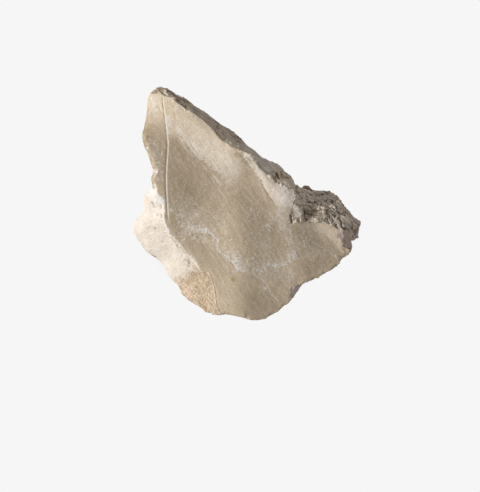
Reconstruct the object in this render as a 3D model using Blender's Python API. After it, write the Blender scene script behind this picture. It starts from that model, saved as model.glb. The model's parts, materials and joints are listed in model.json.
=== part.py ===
# Rock fragment: a broken piece of pale, fine-grained stone, formed and broken as one solid.
#
# It lies on its back. One smooth face, with a few soft swells in it, looks up; rough breaks run
# down from the border of that face to the rim, and the rim is the widest outline of the stone.
# Under the rim steep broken walls lead to blunt facets, and these meet in one small flat spot,
# on which the stone rests.
#
# Tables are in millimetres in the stone's own frame: X and Y across the face, Z up from the flat
# spot. The origin lies on that spot's plane, under the middle of the outline.

import math
import random

import bmesh
import bpy
from mathutils import Vector, noise
from mathutils.geometry import delaunay_2d_cdt

NAME = "rock_fragment"
MM = 0.001

# Driving dimensions, mm
CREST_HEIGHT = 30.5  # height of the face along its crest line
CREST_X = -3.5  # the crest line runs parallel to Y at this X
CREST_ROUNDNESS = 2.5
FALL_LEFT = 0.045  # slope of the face on each side of the crest
FALL_RIGHT = 0.175
BREAK_ROUGHNESS = 0.5  # height of the unevenness on each kind of broken surface
RUBBLE_ROUGHNESS = 1.6
WALL_ROUGHNESS = 1.5
BACK_ROUGHNESS = 1.8
TOP_SPACING = 1.95  # mesh size on the face and the breaks
WALL_SPACING = 1.5
BACK_SPACING = 2.6
LIP_INSET = 0.8  # the first row of mesh points under the rim
WALL_REACH = 10.0  # width of the band in which the walls lie
WALL_CROWDING = 0.7  # how strongly mesh points crowd towards the top of the walls

# Soft swells (+) and hollows (-) of the face: path, half width, height
FOLDS = {
    "left shoulder": (((-37.5, 14), (-32.5, 6)), 14.5, 4.4),
    "upper bank": (((-22, 37), (-13, 28.5), (-3, 20)), 8.5, 4.8),
    "chip bank": (((4.5, 19), (8, 11.5), (17, 4)), 5.5, 3.5),
    "corner fall": (((-40, 44), (-40.5, 36)), 6.0, -3.8),
    "second ridge": (((15, -6), (20.5, -29.5)), 4.0, 0.4),
    "bowl": (((25, -8.5), (30.5, -17.5)), 4.0, -0.6),
    "lower swell": (((-3.5, -9), (-0.5, -19)), 6.0, 0.6),
    "foot": (((-2, -34.5), (-1.5, -42)), 6.0, 0.8),
}

# The rim, clockwise from the top corner: x, y, and how far it lies below the level of the face
RIM_TABLE = (
    # upper break
    (-31, 41.65, 2.5), (-29, 41.2, 3.5), (-28, 40.9, 4), (-26, 39.4, 5), (-23.3, 38, 6),
    (-21.5, 37.1, 6.5), (-19.2, 35, 7), (-17, 33.7, 7.5), (-15, 32.6, 8), (-12.2, 30.3, 8),
    (-9.5, 28.1, 8), (-6.8, 26.8, 7.5), (-4, 24.9, 7), (-1.9, 22.8, 6.5), (0, 20.7, 6.5),
    (3, 18.7, 6.5), (5.5, 16.3, 6), (7.5, 15.3, 6), (10.3, 14.5, 6), (13, 12.3, 5),
    (13.7, 11, 4.5), (15.3, 10.3, 4.5), (16.3, 8.7, 4.5), (16.9, 7.1, 5),
    # rubble block
    (18.1, 6.2, 5.5), (19.2, 5.5, 6), (20.4, 6.3, 6.5), (22, 6.2, 6.5), (22.8, 5, 6),
    (25, 4.6, 6), (27, 4.7, 6), (29.5, 4.4, 6.5), (30.9, 3.5, 6), (33, 2.2, 6), (34.6, -0.6, 5.5),
    (36.7, -2.8, 6), (37.9, -4.6, 5.5), (40.3, -6.3, 5.5), (40.75, -7.2, 5.5), (40.2, -8.2, 5),
    (40, -11, 5), (39.8, -12.7, 4.5), (37.3, -12.7, 3), (37.3, -14, 2.5), (37.7, -15.8, 2),
    # lower right edge of the face
    (37, -17.6, 1.2), (35.5, -18.8, 0.9), (33.9, -19.5, 0.7), (32.5, -21.7, 0.7),
    (31.8, -22.5, 0.7), (28.5, -24.3, 0.7), (24.5, -26.7, 0.7), (20.5, -28.4, 0.7),
    (19.3, -29, 1.2), (18, -31, 2.2), (17.3, -32.3, 2), (15.3, -35, 0.8), (14, -36, 0.7),
    (12.5, -37, 0.7), (11.5, -38.2, 0.7), (8.5, -40, 0.7), (5.2, -41.4, 0.8), (3, -41.65, 0.8),
    (1, -41.4, 0.7), (-0.5, -40.9, 0.6), (-4, -40, 0.6), (-7, -39.3, 0.6), (-10, -39.8, 1),
    # lower left break
    (-13, -39.2, 2), (-14.5, -38.8, 3), (-17, -36.7, 4), (-20, -35.2, 5), (-22.5, -33, 6),
    (-23.7, -30.5, 6.5), (-24.3, -28.8, 7), (-27, -26.5, 7.5), (-29.5, -22.5, 8),
    (-31, -20.3, 8), (-33, -19, 8.5), (-36, -16.5, 8.5), (-39.5, -12, 8.5), (-40.75, -9.8, 8.5),
    (-40.4, -7.8, 8.5), (-39.2, -5.6, 8), (-37.6, -4, 7), (-36.8, -2, 6.5), (-36.9, 1, 6),
    (-36.5, 3.2, 5.5), (-34.5, 4.5, 4), (-33.3, 6, 2.5),
    # left edge of the face
    (-33.9, 9, 1.6), (-33, 11, 1.6), (-33.9, 14, 1.6), (-35.2, 18, 1.8), (-36.6, 20.5, 1.8),
    (-37.4, 24.5, 1.6), (-36.7, 26.5, 1.4), (-35.9, 30, 1.2), (-35.3, 36.5, 1.2),
    (-34.7, 38.6, 1.4), (-33.4, 40.2, 1.8), (-32, 41, 2),
)

# The border of the smooth face, clockwise from the top corner
FACE_BORDER = (
    # along the upper break
    (-33.3, 39), (-31.3, 39.2), (-29.2, 38), (-26, 36.6), (-24.3, 35.2), (-22, 33.5),
    (-20.4, 32.8), (-18, 31.2), (-15, 28.9), (-12.3, 26.3), (-11, 24.4), (-9, 22.2),
    (-6.2, 20.4), (-4, 19.3), (-0.5, 18), (1.8, 17.3), (2.8, 15.5), (4.7, 12.3), (7, 10.3),
    (9, 9.1), (10.2, 7.7), (11.6, 6.5), (15, 5.4), (16.8, 5.2),
    # round the rubble block
    (17.1, 3.5), (17.3, 2), (16.6, 0.2), (15.8, -1), (15.4, -3.5), (15.8, -6.5), (18, -7),
    (21.5, -6.9), (26, -6.7), (29.5, -7.5), (31.8, -8.6), (32.2, -11), (34, -13.7),
    (36, -15.8), (36, -17), (34.8, -18.2),
    # inside the lower right edge
    (33.1, -19.1), (31.3, -21.7), (28.1, -23.4), (24.1, -25.8), (20.1, -27.5), (18.6, -28.4),
    (17, -30.8), (16.3, -32), (14.6, -34.3), (12, -36.2), (11, -37.4), (8.2, -39.1),
    (5, -40.5), (3, -40.7), (1.2, -40.5), (-4, -39.1), (-7, -38.4), (-9.2, -38.8),
    # along the lower left break
    (-10.3, -37), (-11, -33), (-11.8, -29), (-12.5, -26.5), (-13.5, -24.5), (-17, -22),
    (-18.5, -20), (-20.5, -18.5), (-22, -16.5), (-25, -13), (-27.5, -10), (-28.5, -8),
    (-29.3, -5), (-29, -2), (-29.5, 1.8), (-31.6, 3.6), (-32.3, 6),
    # inside the left edge
    (-32.8, 9), (-31.9, 11), (-32.8, 14), (-34.1, 18), (-35.5, 21), (-36.2, 24.5),
    (-35.6, 26.8), (-34.8, 30), (-34.2, 36.4),
)

# The top edge of the broken walls, clockwise from the top corner, a little inside the rim: x, y,
# how far it lies below the level of the face, and the slope of the wall there, height over width
WALL_CORNERS = (
    (-31.5, 38.5, 7, 1.8), (-22.5, 34.8, 10, 2.6), (-11.7, 27.2, 12, 2.0), (-1, 19.2, 11, 2.8),
    (11, 12, 9.5, 2.2), (18, 3.8, 9, 1.8), (29, 2.2, 9, 2.6), (34, -3, 8.5, 1.8),
    (38, -9.4, 8, 1.6), (35.6, -15.2, 5.5, 2.4), (31, -20.4, 5, 3.2), (19.5, -26.6, 5, 2.4),
    (15.4, -32, 6, 2.0), (9.8, -37, 4.5, 3.2), (1.5, -39.2, 4.5, 2.8), (-12, -37.1, 6, 2.2),
    (-20.3, -32.6, 9.5, 1.6), (-27.3, -22.8, 11.5, 2.3), (-37, -12.4, 12, 1.5),
    (-38, -7.8, 12, 1.6), (-34.6, -1.5, 10, 2.2), (-31.6, 5.5, 7, 2.8), (-31.4, 12, 6, 2.4),
    (-34.8, 22.5, 6, 1.7), (-33.6, 32, 6, 2.4),
)

# The flat spot, clockwise, and the slope of the facet that rises outward from each of its sides
REST_SPOT = ((-11.5, 1), (-5.5, 4), (1.5, 1), (3.5, -6), (-1.5, -12), (-9.5, -12), (-14.5, -6))
FACET_SLOPES = (0.3, 1.1, 0.36, 0.62, 0.7, 0.38, 0.6)

# Shallow scoops in the back, where flakes have come away: centre, radius, depth
SCOOPS = (
    ((-21, 15), 12.0, 3.2), ((20, -13), 12.0, 2.8), ((-15, -24), 9.0, 2.2), ((12, 5), 8.0, 2.4),
)

STONE_COLOUR = (0.41, 0.33, 0.24, 1.0)
STONE_ROUGHNESS = 0.85
MOST_SMOOTH_ANGLE = math.radians(32)


def clear_scene():
    for old in list(bpy.data.objects):
        bpy.data.objects.remove(old, do_unlink=True)


def nearest_on_loop(loop, p):
    """Distance from p to the closed loop in plan, and the loop's point there with its height."""
    best, found = math.inf, None
    for a, b in zip(loop, loop[1:] + loop[:1]):
        run = (b - a).xy
        t = max(0.0, min(1.0, (p - a.xy).dot(run) / run.length_squared))
        q = a.lerp(b, t)
        away = (p - q.xy).length
        if away < best:
            best, found = away, q
    return best, found


def nearest_on_path(path, p):
    """Distance from p to an open path in plan."""
    best = math.inf
    for a, b in zip(path, path[1:]):
        start, run = Vector(a), Vector(b) - Vector(a)
        t = max(0.0, min(1.0, (p - start).dot(run) / run.length_squared))
        best = min(best, (p - start - run * t).length)
    return best


def is_inside(loop, p):
    """Even-odd rule in plan."""
    inside = False
    for a, b in zip(loop, loop[1:] + loop[:1]):
        if (a.y > p.y) != (b.y > p.y):
            if p.x < a.x + (p.y - a.y) / (b.y - a.y) * (b.x - a.x):
                inside = not inside
    return inside


def divided(loop, longest):
    """The loop with its long sides cut into equal lengths."""
    points = []
    for a, b in zip(loop, loop[1:] + loop[:1]):
        steps = max(1, math.ceil((b - a).xy.length / longest))
        points += [a.lerp(b, i / steps) for i in range(steps)]
    return points


def roughness(p, size, seed):
    """Broken-stone noise from about -1 to 1, with features of the given size."""
    return noise.fractal(Vector((p.x / size, p.y / size, seed)), 0.8, 2.2, 3)


def face_height(p):
    """The smooth face: a soft roof along its crest, with the folds laid over it."""
    across = p.x - CREST_X
    fall = FALL_RIGHT if across > 0 else FALL_LEFT
    z = CREST_HEIGHT - fall * (math.hypot(across, CREST_ROUNDNESS) - CREST_ROUNDNESS)
    for path, half_width, height in FOLDS.values():
        z += height * math.exp(-((nearest_on_path(path, p) / half_width) ** 2))
    return z


def lowered(x, y, below, *rest):
    """The point of a table, at the given depth below the level of the face."""
    return Vector((x, y, face_height(Vector((x, y))) - below, *rest))


def rim_loop():
    return divided([lowered(*row) for row in RIM_TABLE], TOP_SPACING)


def border_loop():
    return [lowered(p.x, p.y, 0.0) for p in divided([Vector(c) for c in FACE_BORDER], TOP_SPACING)]


def wall_loop():
    return divided([lowered(*row) for row in WALL_CORNERS], WALL_SPACING)


def spot_loop():
    return divided([Vector(corner) for corner in REST_SPOT], BACK_SPACING)


def top_height(p, rim, border):
    """The face inside its border; outside it a rough slope from the border down to the rim."""
    if is_inside(border, p):
        return face_height(p)
    from_rim, rim_point = nearest_on_loop(rim, p)
    from_face, face_point = nearest_on_loop(border, p)
    share = from_rim / (from_rim + from_face)
    in_rubble = min(1.0, max(0.0, (p.x - 16.0) / 3.0)) * (p.y > -15.0)
    rough = BREAK_ROUGHNESS + (RUBBLE_ROUGHNESS - BREAK_ROUGHNESS) * in_rubble
    size = 7.0 - 3.0 * in_rubble
    fade = min(1.0, from_rim / 2.5, from_face / 1.5)
    bulge = 1.2 * in_rubble * 4 * share * (1 - share)
    slope = rim_point.z + (face_point.z - rim_point.z) * share ** 0.85
    return slope + bulge + rough * fade * roughness(p, size, 3.7)


def bowl_height(p):
    """The back: facets rising from the sides of the flat spot, roughened, with a few scoops."""
    rise = 0.0
    corners = [Vector(c) for c in REST_SPOT]
    for a, b, slope in zip(corners, corners[1:] + corners[:1], FACET_SLOPES):
        along = (b - a).normalized()
        outward = Vector((-along.y, along.x))
        rise = max(rise, slope * (p - a).dot(outward))
    fade = min(1.0, rise / 2.0)
    z = rise + fade * BACK_ROUGHNESS * roughness(p, 12.0, 8.1)
    for centre, radius, depth in SCOOPS:
        away = (p - Vector(centre)).length / radius
        z += fade * depth * max(0.0, 1 - away * away)
    return max(z, 0.0)


def back_point(p, rim, wall):
    """A point of the back: on the lip under the rim, or on a wall or in the bowl inside it."""
    from_wall, top = nearest_on_loop(wall, p)
    if not is_inside(wall, p):
        from_rim, rim_point = nearest_on_loop(rim, p)
        share = from_rim / (from_rim + from_wall)
        return Vector((p.x, p.y, rim_point.z + (top.z - rim_point.z) * share))
    pull = WALL_CROWDING * max(0.0, 1 - from_wall / WALL_REACH) ** 2
    q = p.lerp(top.xy, pull)
    inset = from_wall * (1 - pull)
    uneven = min(1.0, inset) * WALL_ROUGHNESS * roughness(q, 7.0, 1.9)
    return Vector((q.x, q.y, max(top.z - top.w * inset + uneven, bowl_height(q))))


def scattered(spacing, rng, accept):
    """A jittered triangular grid over the stone, keeping the points that accept allows."""
    points = []
    row_height = spacing * math.sqrt(3) / 2
    rows = int(90 / row_height)
    for row in range(rows):
        for column in range(int(90 / spacing)):
            x = -45 + (column + 0.5 * (row % 2)) * spacing + rng.uniform(-0.16, 0.16) * spacing
            y = -45 + row * row_height + rng.uniform(-0.16, 0.16) * spacing
            if accept(Vector((x, y))):
                points.append(Vector((x, y)))
    return points


def top_plan(rim, border, rng):
    def clear_of_edges(p):
        gap = min(nearest_on_loop(rim, p)[0], nearest_on_loop(border, p)[0])
        return is_inside(rim, p) and gap > 0.55 * TOP_SPACING

    return scattered(TOP_SPACING, rng, clear_of_edges)


def lip_points(rim, wall):
    """One point just inside each rim point, so that no mesh edge of the back joins two of those."""
    points = []
    for before, here, after in zip(rim[-1:] + rim[:-1], rim, rim[1:] + rim[:1]):
        along = (after - before).xy.normalized()
        p = here.xy + LIP_INSET * Vector((along.y, -along.x))
        clear = min(nearest_on_loop(loop, p)[0] for loop in (rim, wall)) > 0.6 * LIP_INSET
        if clear and is_inside(rim, p):
            points.append(p)
    return points


def back_plan(rim, wall, spot, rng):
    def in_wall_band(p):
        away = nearest_on_loop(wall, p)[0]
        return is_inside(wall, p) and 0.6 * WALL_SPACING < away < WALL_REACH

    def in_middle(p):
        clear = nearest_on_loop(spot, p)[0] > 0.5 * BACK_SPACING
        return clear and is_inside(wall, p) and nearest_on_loop(wall, p)[0] > WALL_REACH

    walls = scattered(WALL_SPACING, rng, in_wall_band)
    return lip_points(rim, wall) + walls + scattered(BACK_SPACING, rng, in_middle)


def add_sheet(bm, rim_verts, loops, plan, place):
    """Triangulate one sheet inside the first loop, the rim, with the others as edges, and lift it."""
    points, edges = [], []
    for loop in loops:
        start, count = len(points), len(loop)
        points += [p.xy for p in loop]
        edges += [(start + i, start + (i + 1) % count) for i in range(count)]
    flat, _, faces, origins, _, _ = delaunay_2d_cdt(points + plan, edges, [], 1, 1e-5)
    verts = []
    for p, origin in zip(flat, origins):
        on_rim = bool(origin) and origin[0] < len(rim_verts)
        verts.append(rim_verts[origin[0]] if on_rim else bm.verts.new(place(p)))
    for face in faces:
        bm.faces.new([verts[i] for i in face])


def build_stone():
    rng = random.Random(11)
    rim, border, wall, spot = rim_loop(), border_loop(), wall_loop(), spot_loop()
    bm = bmesh.new()
    rim_verts = [bm.verts.new(p) for p in rim]

    def lift_top(p):
        return Vector((p.x, p.y, top_height(p, rim, border)))

    def drop_back(p):
        return back_point(p, rim, wall)

    add_sheet(bm, rim_verts, (rim, border), top_plan(rim, border, rng), lift_top)
    add_sheet(bm, rim_verts, (rim, wall, spot), back_plan(rim, wall, spot, rng), drop_back)
    bmesh.ops.recalc_face_normals(bm, faces=bm.faces)
    bmesh.ops.scale(bm, vec=(MM, MM, MM), verts=bm.verts)
    mesh = bpy.data.meshes.new(NAME)
    bm.to_mesh(mesh)
    bm.free()
    mesh.shade_smooth()
    mesh.set_sharp_from_angle(angle=MOST_SMOOTH_ANGLE)
    return mesh


def stone_material():
    material = bpy.data.materials.new("pale_stone")
    material.use_nodes = True
    shader = material.node_tree.nodes["Principled BSDF"]
    shader.inputs["Base Color"].default_value = STONE_COLOUR
    shader.inputs["Roughness"].default_value = STONE_ROUGHNESS
    shader.inputs["Metallic"].default_value = 0.0
    return material


def main():
    clear_scene()
    collection = bpy.data.collections.new(NAME)
    bpy.context.scene.collection.children.link(collection)
    stone = bpy.data.objects.new(NAME, build_stone())
    stone.data.materials.append(stone_material())
    collection.objects.link(stone)


main()
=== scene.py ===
import json
import math
import bmesh
import bpy
import numpy as np
from mathutils import Matrix, Vector, noise
from mathutils.bvhtree import BVHTree


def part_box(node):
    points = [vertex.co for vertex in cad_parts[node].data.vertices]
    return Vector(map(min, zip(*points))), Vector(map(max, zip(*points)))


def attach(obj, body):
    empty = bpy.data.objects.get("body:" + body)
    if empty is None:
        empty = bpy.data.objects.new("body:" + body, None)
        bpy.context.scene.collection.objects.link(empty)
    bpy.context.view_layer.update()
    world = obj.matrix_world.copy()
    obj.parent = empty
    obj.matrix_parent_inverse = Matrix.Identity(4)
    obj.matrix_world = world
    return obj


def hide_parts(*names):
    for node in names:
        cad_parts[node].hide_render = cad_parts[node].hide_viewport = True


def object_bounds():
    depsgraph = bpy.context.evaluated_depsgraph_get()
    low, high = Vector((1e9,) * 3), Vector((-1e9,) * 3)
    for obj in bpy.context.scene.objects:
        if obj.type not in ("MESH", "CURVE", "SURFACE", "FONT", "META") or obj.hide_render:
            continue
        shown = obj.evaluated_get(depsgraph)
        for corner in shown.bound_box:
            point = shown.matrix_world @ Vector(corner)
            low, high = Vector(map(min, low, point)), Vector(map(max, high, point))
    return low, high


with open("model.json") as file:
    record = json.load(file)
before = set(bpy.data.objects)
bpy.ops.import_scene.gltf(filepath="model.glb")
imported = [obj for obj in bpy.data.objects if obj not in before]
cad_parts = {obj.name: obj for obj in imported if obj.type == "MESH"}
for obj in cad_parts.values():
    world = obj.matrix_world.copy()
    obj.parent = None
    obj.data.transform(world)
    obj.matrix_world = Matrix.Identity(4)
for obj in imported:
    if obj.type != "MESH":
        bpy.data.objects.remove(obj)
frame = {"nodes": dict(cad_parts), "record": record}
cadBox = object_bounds()

# Places on the stone are in millimetres from the middle of its outline, x to the right and y away;
# the mesh is worked on in millimetres and goes back to metres at the end.
mm = 0.001
nodeName = frame["record"]["subparts"][0]["node"]
lowCorner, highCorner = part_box(nodeName)
stoneMiddle = (lowCorner + highCorner) / 2

cameraView = {
    "above": 2.4,  # metres over the smooth face
    "faceLevel": 0.028,
    "across": 0.1754,  # what the long side of the picture takes in, at the face
    "offset": (-0.00246, -0.01519),  # from the middle of the stone
    "sensor": 36.0,
    "clip": (0.01, 20),
}

studioLight = {
    "keyStrength": 2.7,
    "keySize": 10.0,  # degrees
    "keyFrom": 176.0,  # degrees round from +X
    "keyHeight": 24.0,  # degrees over the floor
    "fill": 0.27,
    "fillColour": (1.0, 0.985, 0.965),
    "backdrop": 0.922,
    "floorGlow": 0.32,  # what the floor sends up at the stone
    "contactReach": 0.012,  # how far from the stone its soft contact shade starts
    "contactShade": 0.8,
    "floorSize": 3.0,
}


def makeCamera():
    view = cameraView
    data = bpy.data.cameras.new("camera")
    data.sensor_width = view["sensor"]
    data.lens = view["sensor"] * view["above"] / view["across"]
    data.clip_start, data.clip_end = view["clip"]
    camera = bpy.data.objects.new("camera", data)
    x, y = stoneMiddle.x + view["offset"][0], stoneMiddle.y + view["offset"][1]
    camera.location = (x, y, view["faceLevel"] + view["above"])
    bpy.context.scene.collection.objects.link(camera)
    bpy.context.scene.camera = camera


def backdropMix(tree, seen, lit):
    # one emission for what the camera sees, another for what lights the stone
    path = tree.nodes.new("ShaderNodeLightPath")
    mix = tree.nodes.new("ShaderNodeMix")
    tree.links.new(path.outputs["Is Camera Ray"], mix.inputs["Factor"])
    mix.inputs["A"].default_value = lit
    mix.inputs["B"].default_value = seen
    return mix.outputs["Result"]


def makeStudio():
    light = studioLight
    world = bpy.data.worlds.new("studio")
    world.use_nodes = True
    tree = world.node_tree
    glow = tree.nodes["Background"]
    glow.inputs["Color"].default_value = (*light["fillColour"], 1)
    tree.links.new(backdropMix(tree, light["backdrop"], light["fill"]), glow.inputs["Strength"])
    bpy.context.scene.world = world
    bpy.context.scene.view_settings.view_transform = "Standard"

    sun = bpy.data.lights.new("key", "SUN")
    sun.energy = light["keyStrength"]
    sun.angle = math.radians(light["keySize"])
    key = bpy.data.objects.new("key", sun)
    turn, height = math.radians(light["keyFrom"]), math.radians(light["keyHeight"])
    level = math.cos(height)
    toLight = Vector((math.cos(turn) * level, math.sin(turn) * level, math.sin(height)))
    key.rotation_mode = "QUATERNION"
    key.rotation_quaternion = toLight.to_track_quat("Z", "Y")
    bpy.context.scene.collection.objects.link(key)

    bpy.ops.mesh.primitive_plane_add(size=light["floorSize"])
    floor = bpy.context.object
    floor.name = "floor"
    material = bpy.data.materials.new("paleFloor")
    material.use_nodes = True
    tree = material.node_tree
    tree.nodes.clear()
    contact = tree.nodes.new("ShaderNodeAmbientOcclusion")
    contact.inputs["Distance"].default_value = light["contactReach"]
    shade = tree.nodes.new("ShaderNodeMapRange")
    shade.inputs["To Min"].default_value = light["contactShade"]
    tree.links.new(contact.outputs["AO"], shade.inputs["Value"])
    both = tree.nodes.new("ShaderNodeMath")
    both.operation = "MULTIPLY"
    tree.links.new(shade.outputs["Result"], both.inputs[0])
    tree.links.new(backdropMix(tree, light["backdrop"], light["floorGlow"]), both.inputs[1])
    glow = tree.nodes.new("ShaderNodeEmission")
    tree.links.new(both.outputs[0], glow.inputs["Strength"])
    out = tree.nodes.new("ShaderNodeOutputMaterial")
    tree.links.new(glow.outputs[0], out.inputs["Surface"])
    floor.data.materials.append(material)


# the edge of the smooth face, clockwise from the top corner
faceBorder = (
    (-33.3, 39), (-31.3, 39.2), (-29.2, 38), (-26, 36.6), (-24.3, 35.2), (-22, 33.5), (-20.4, 32.8),
    (-18, 31.2), (-15, 28.9), (-12.3, 26.3), (-11, 24.4), (-9, 22.2), (-6.2, 20.4), (-4, 19.3),
    (-0.5, 18), (2, 17.4), (3.2, 15.6), (4.2, 13.9), (4.9, 12.4), (5.5, 11.6), (7.1, 10.4),
    (8.1, 9.5), (9, 9.1), (10.2, 7.7), (11.6, 6.5), (15, 5.2), (17, 5.6),
    (17.1, 3.5), (17.3, 2), (16.6, 0.2), (15.8, -1), (15.4, -3.5), (15.8, -6.5), (16.2, -7.2),
    (18, -7), (20, -6.7), (21.5, -6.9), (24, -6.6), (26, -6.7), (28, -7.2), (29.5, -7.5),
    (31, -8), (31.8, -8.6), (32, -9.5), (32.2, -11), (32.7, -12.1), (33.3, -13), (34, -13.7),
    (35, -14.5), (36, -15.8), (36, -17), (34.8, -18.2), (33.1, -19.1), (31.3, -21.7),
    (28.1, -23.4), (24.1, -25.8), (20.1, -27.5), (19.4, -28.5), (17, -29.3), (15.2, -29.7),
    (15.6, -31.2), (16, -32.4), (14.6, -34.3), (12, -36.2), (11, -37.4), (8.2, -39.1), (5, -40.5),
    (3, -40.7), (1.2, -40.5),
    (-4, -39.1), (-7, -38.4), (-9.2, -38.8), (-10, -38.2), (-10.5, -37), (-11, -35), (-11, -33),
    (-11.8, -29), (-12.5, -26.5), (-13.5, -24.5), (-15.5, -23.3), (-17, -22), (-18.5, -20),
    (-20.5, -18.5), (-22, -16.5), (-23.5, -14.5), (-25, -13), (-26.5, -11.5), (-27.5, -10),
    (-28.5, -8), (-29.3, -5), (-29, -2), (-29.2, 0), (-29.5, 1.8), (-30.5, 2.3), (-31.6, 3.6),
    (-32.3, 6), (-32.8, 9), (-31.9, 11), (-32.8, 14), (-34.1, 18), (-35.5, 21), (-36.2, 24.5),
    (-35.6, 26.8), (-34.8, 30), (-34.2, 36.4),
)

# the broken stone outside the face, as wide plan areas that run out past the rim
zones = {
    "cream": ((-30, 7), (-26, 0), (-27, -8), (-18, -19), (-10, -24), (-8, -36), (-8.5, -46),
              (-50, -46), (-50, 7)),
    "tan": ((-26.5, -27.6), (-22.5, -26), (-20.4, -24), (-17.6, -22), (-8, -20.6), (-6, -46), (-24, -46),
            (-28, -31)),
    "upper": ((-37, 40.4), (-34.4, 39.3), (-31, 37.5), (-16, 27), (-8, 20), (2, 13), (8, 8), (17, 10),
              (20, 46), (-37, 46)),
    "curl": ((8.6, 9.5), (10, 11.2), (13, 11.6), (17, 12), (18.5, 6), (17.2, 5.4), (15, 4.8), (11.6, 6.2),
             (10, 7.5)),
    "rubble": ((17.2, 4), (17.4, 8), (19, 12), (50, 12), (50, -13.2), (37.2, -13), (36.4, -11), (34.6, -9.8),
               (32.6, -9.2), (31, -9.4), (28, -10), (14, -10), (14, 0)),
    "violet": ((31, -9.4), (32.6, -9.2), (34.6, -9.8), (36.4, -11), (37.2, -13), (45, -13.2), (45, -19),
               (37, -17.5), (33, -14)),
    "step": ((15.2, -29.7), (17, -29.3), (19.4, -28.5), (24, -28), (24, -33), (19.5, -33.4), (17.2, -33.4),
             (16.4, -32.7), (15.6, -31.2)),
    "facet": ((-2, 20), (1.6, 17.6), (2.8, 15.8), (4.6, 12.8), (8, 10), (9.4, 11.4), (12, 12), (16, 12),
              (22, 16), (8, 24)),
    "knob": ((15.2, -0.6), (17, -1.1), (18.6, -1.7), (20.1, -2.5), (20, -4.3), (19, -4.8), (17.2, -4.4),
             (15.2, -3.6)),
}

chipOutline = ((-1.2, 16.3), (-0.5, 19), (3, 19), (6, 13), (9.3, 9.8), (11.5, 7.6), (15, 6), (17.6, 6.6),
               (17.4, 3.5), (17.6, 2), (16.9, 0), (15.9, -1), (14, -1.6), (12, -1.4), (10, 0), (7.8, 3),
               (6.2, 5.8), (4.2, 9), (1.7, 12.5), (0.2, 15))

groovePath = ((-30, 38.3), (-29.8, 36), (-29.5, 34), (-29.1, 31), (-28.8, 28), (-28.5, 25), (-28.2, 22),
              (-28.25, 19), (-28.5, 15), (-28.8, 10), (-28.7, 6), (-28.5, 2), (-28.3, -2), (-28.1, -5),
              (-27.6, -8))

crackPath = ((1.8, -24.3), (3, -25.9), (5, -27.1), (6.3, -28.3), (7.3, -29.8), (7.8, -31), (8.6, -32.4),
             (10, -33.8), (11, -34.8))

# the lower right rims, where the smooth face runs out to the edge
rimPaths = (
    ((2, -41.8), (5.4, -41.4), (8.6, -39.6), (11.8, -38), (13.4, -36.3), (15.4, -34.8)),
    ((19.8, -28.8), (25, -26.5), (28, -24.5), (31.4, -22.7), (34, -19.7), (36.6, -17.6), (37.5, -15.4)),
)

# where the curled rim needs the finest mesh
curlPath = ((10, 10), (14, 8))

# lines that steer the lumps of the rubbly corner
rubbleLines = {
    "middle": ((26, -4.6), (28, -3), (28.4, 1)),
    "flat": ((33.4, -4.8), (36.4, -6.6)),
    "paler": ((25.6, 1), (28, 2), (31, 0), (33, -3)),
    "low": ((28.6, -5), (34.5, -7.4)),
    "lowLeft": ((22.6, -6), (24.8, -6)),
}

# soft marks worked into the surface: path, half width, height (+) or depth (-)
cornerStrokes = (
    # curled rim, its flutes, and the knob inside it
    (((8.7, 9.8), (10.0, 11.0), (12.2, 10.8), (14.3, 10.2), (15.8, 8.9)), 0.7, 0.8),
    (((10.4, 10.8), (10.7, 9.8), (11.3, 8.9)), 0.32, -1.0),
    (((12.1, 11.2), (12.4, 10.0)), 0.3, -0.7),
    (((12.2, 9.4), (13.6, 9.1), (14.8, 9.0), (16, 8.9)), 0.35, -0.8),
    (((9.9, 8.9), (10.4, 7.8)), 0.4, -0.6),
    (((9.4, 9.6), (9.7, 8.9)), 0.25, -0.35),
    (((13.6, 10.9), (14.2, 9.8)), 0.25, -0.25),
    (((15, 10.3), (15.3, 9.4)), 0.25, -0.25),
    (((11.6, 8.3), (13, 8.2), (15, 7.6)), 0.9, 0.5),
    (((13, 8.3), (14.4, 7.6), (15.2, 6.4)), 0.28, 0.06),
    (((14.2, 8.5), (15.4, 7.6), (16.1, 6.6)), 0.28, 0.06),
    (((12.15, 7.2), (12.35, 6.4)), 0.24, 0.25),
    (((11.3, 7.3), (11.8, 6.8)), 0.25, -0.25),
    # pale knob at the corner of the rubble, and the holes under it
    (((15.6, -4.1), (15.8, -5.4), (16.1, -6.9)), 0.28, -0.9),
    (((18.5, -5.6), (18.5, -6.3)), 0.42, -0.9),
    # right end of the face
    (((34.7, -14.9), (37.2, -16.4)), 0.30, -0.40),
    (((33, -9.2), (33.3, -11.6)), 0.8, -0.25),
    (((36.6, -7.2), (36.9, -8.3)), 0.45, 0.35),
    (((33.2, -16.0), (34.7, -17.5)), 0.30, 0.18),
    (((32.8, -16.3), (34.2, -17.8)), 0.25, -0.12),
    # ripples in the cream break
    (((-30, -24.4), (-28.4, -22.6), (-26, -22.2), (-24.6, -23)), 0.4, 0.07),
    (((-28.6, -24.6), (-27.4, -23.6), (-26, -23.6)), 0.35, 0.06),
    # layers along the upper break
    (((-28, 39.9), (-24.5, 37.8), (-21.5, 35.7)), 0.35, -0.45),
    (((-26.5, 38.2), (-23.4, 36.2)), 0.35, 0.25),
    (((-24.8, 36.7), (-23.6, 35.8)), 0.4, -0.4),
    (((-23.4, 35.2), (-21.6, 33.8)), 0.3, -0.25),
    (((-11.5, 28.9), (-8, 26.6), (-4.6, 24.2)), 0.3, -0.3),
    (((-11.5, 27.6), (-9.4, 26.5), (-7.4, 24.9)), 0.25, -0.25),
    (((-10.6, 26.2), (-8.8, 25.0), (-6.8, 23)), 0.25, 0.2),
    (((-5.9, 21.9), (-5.5, 21.2)), 0.35, 0.3),
    (((2.6, 17), (3.6, 15.2), (5.8, 12.8), (8, 10.2)), 0.3, 0.2),
)

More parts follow.
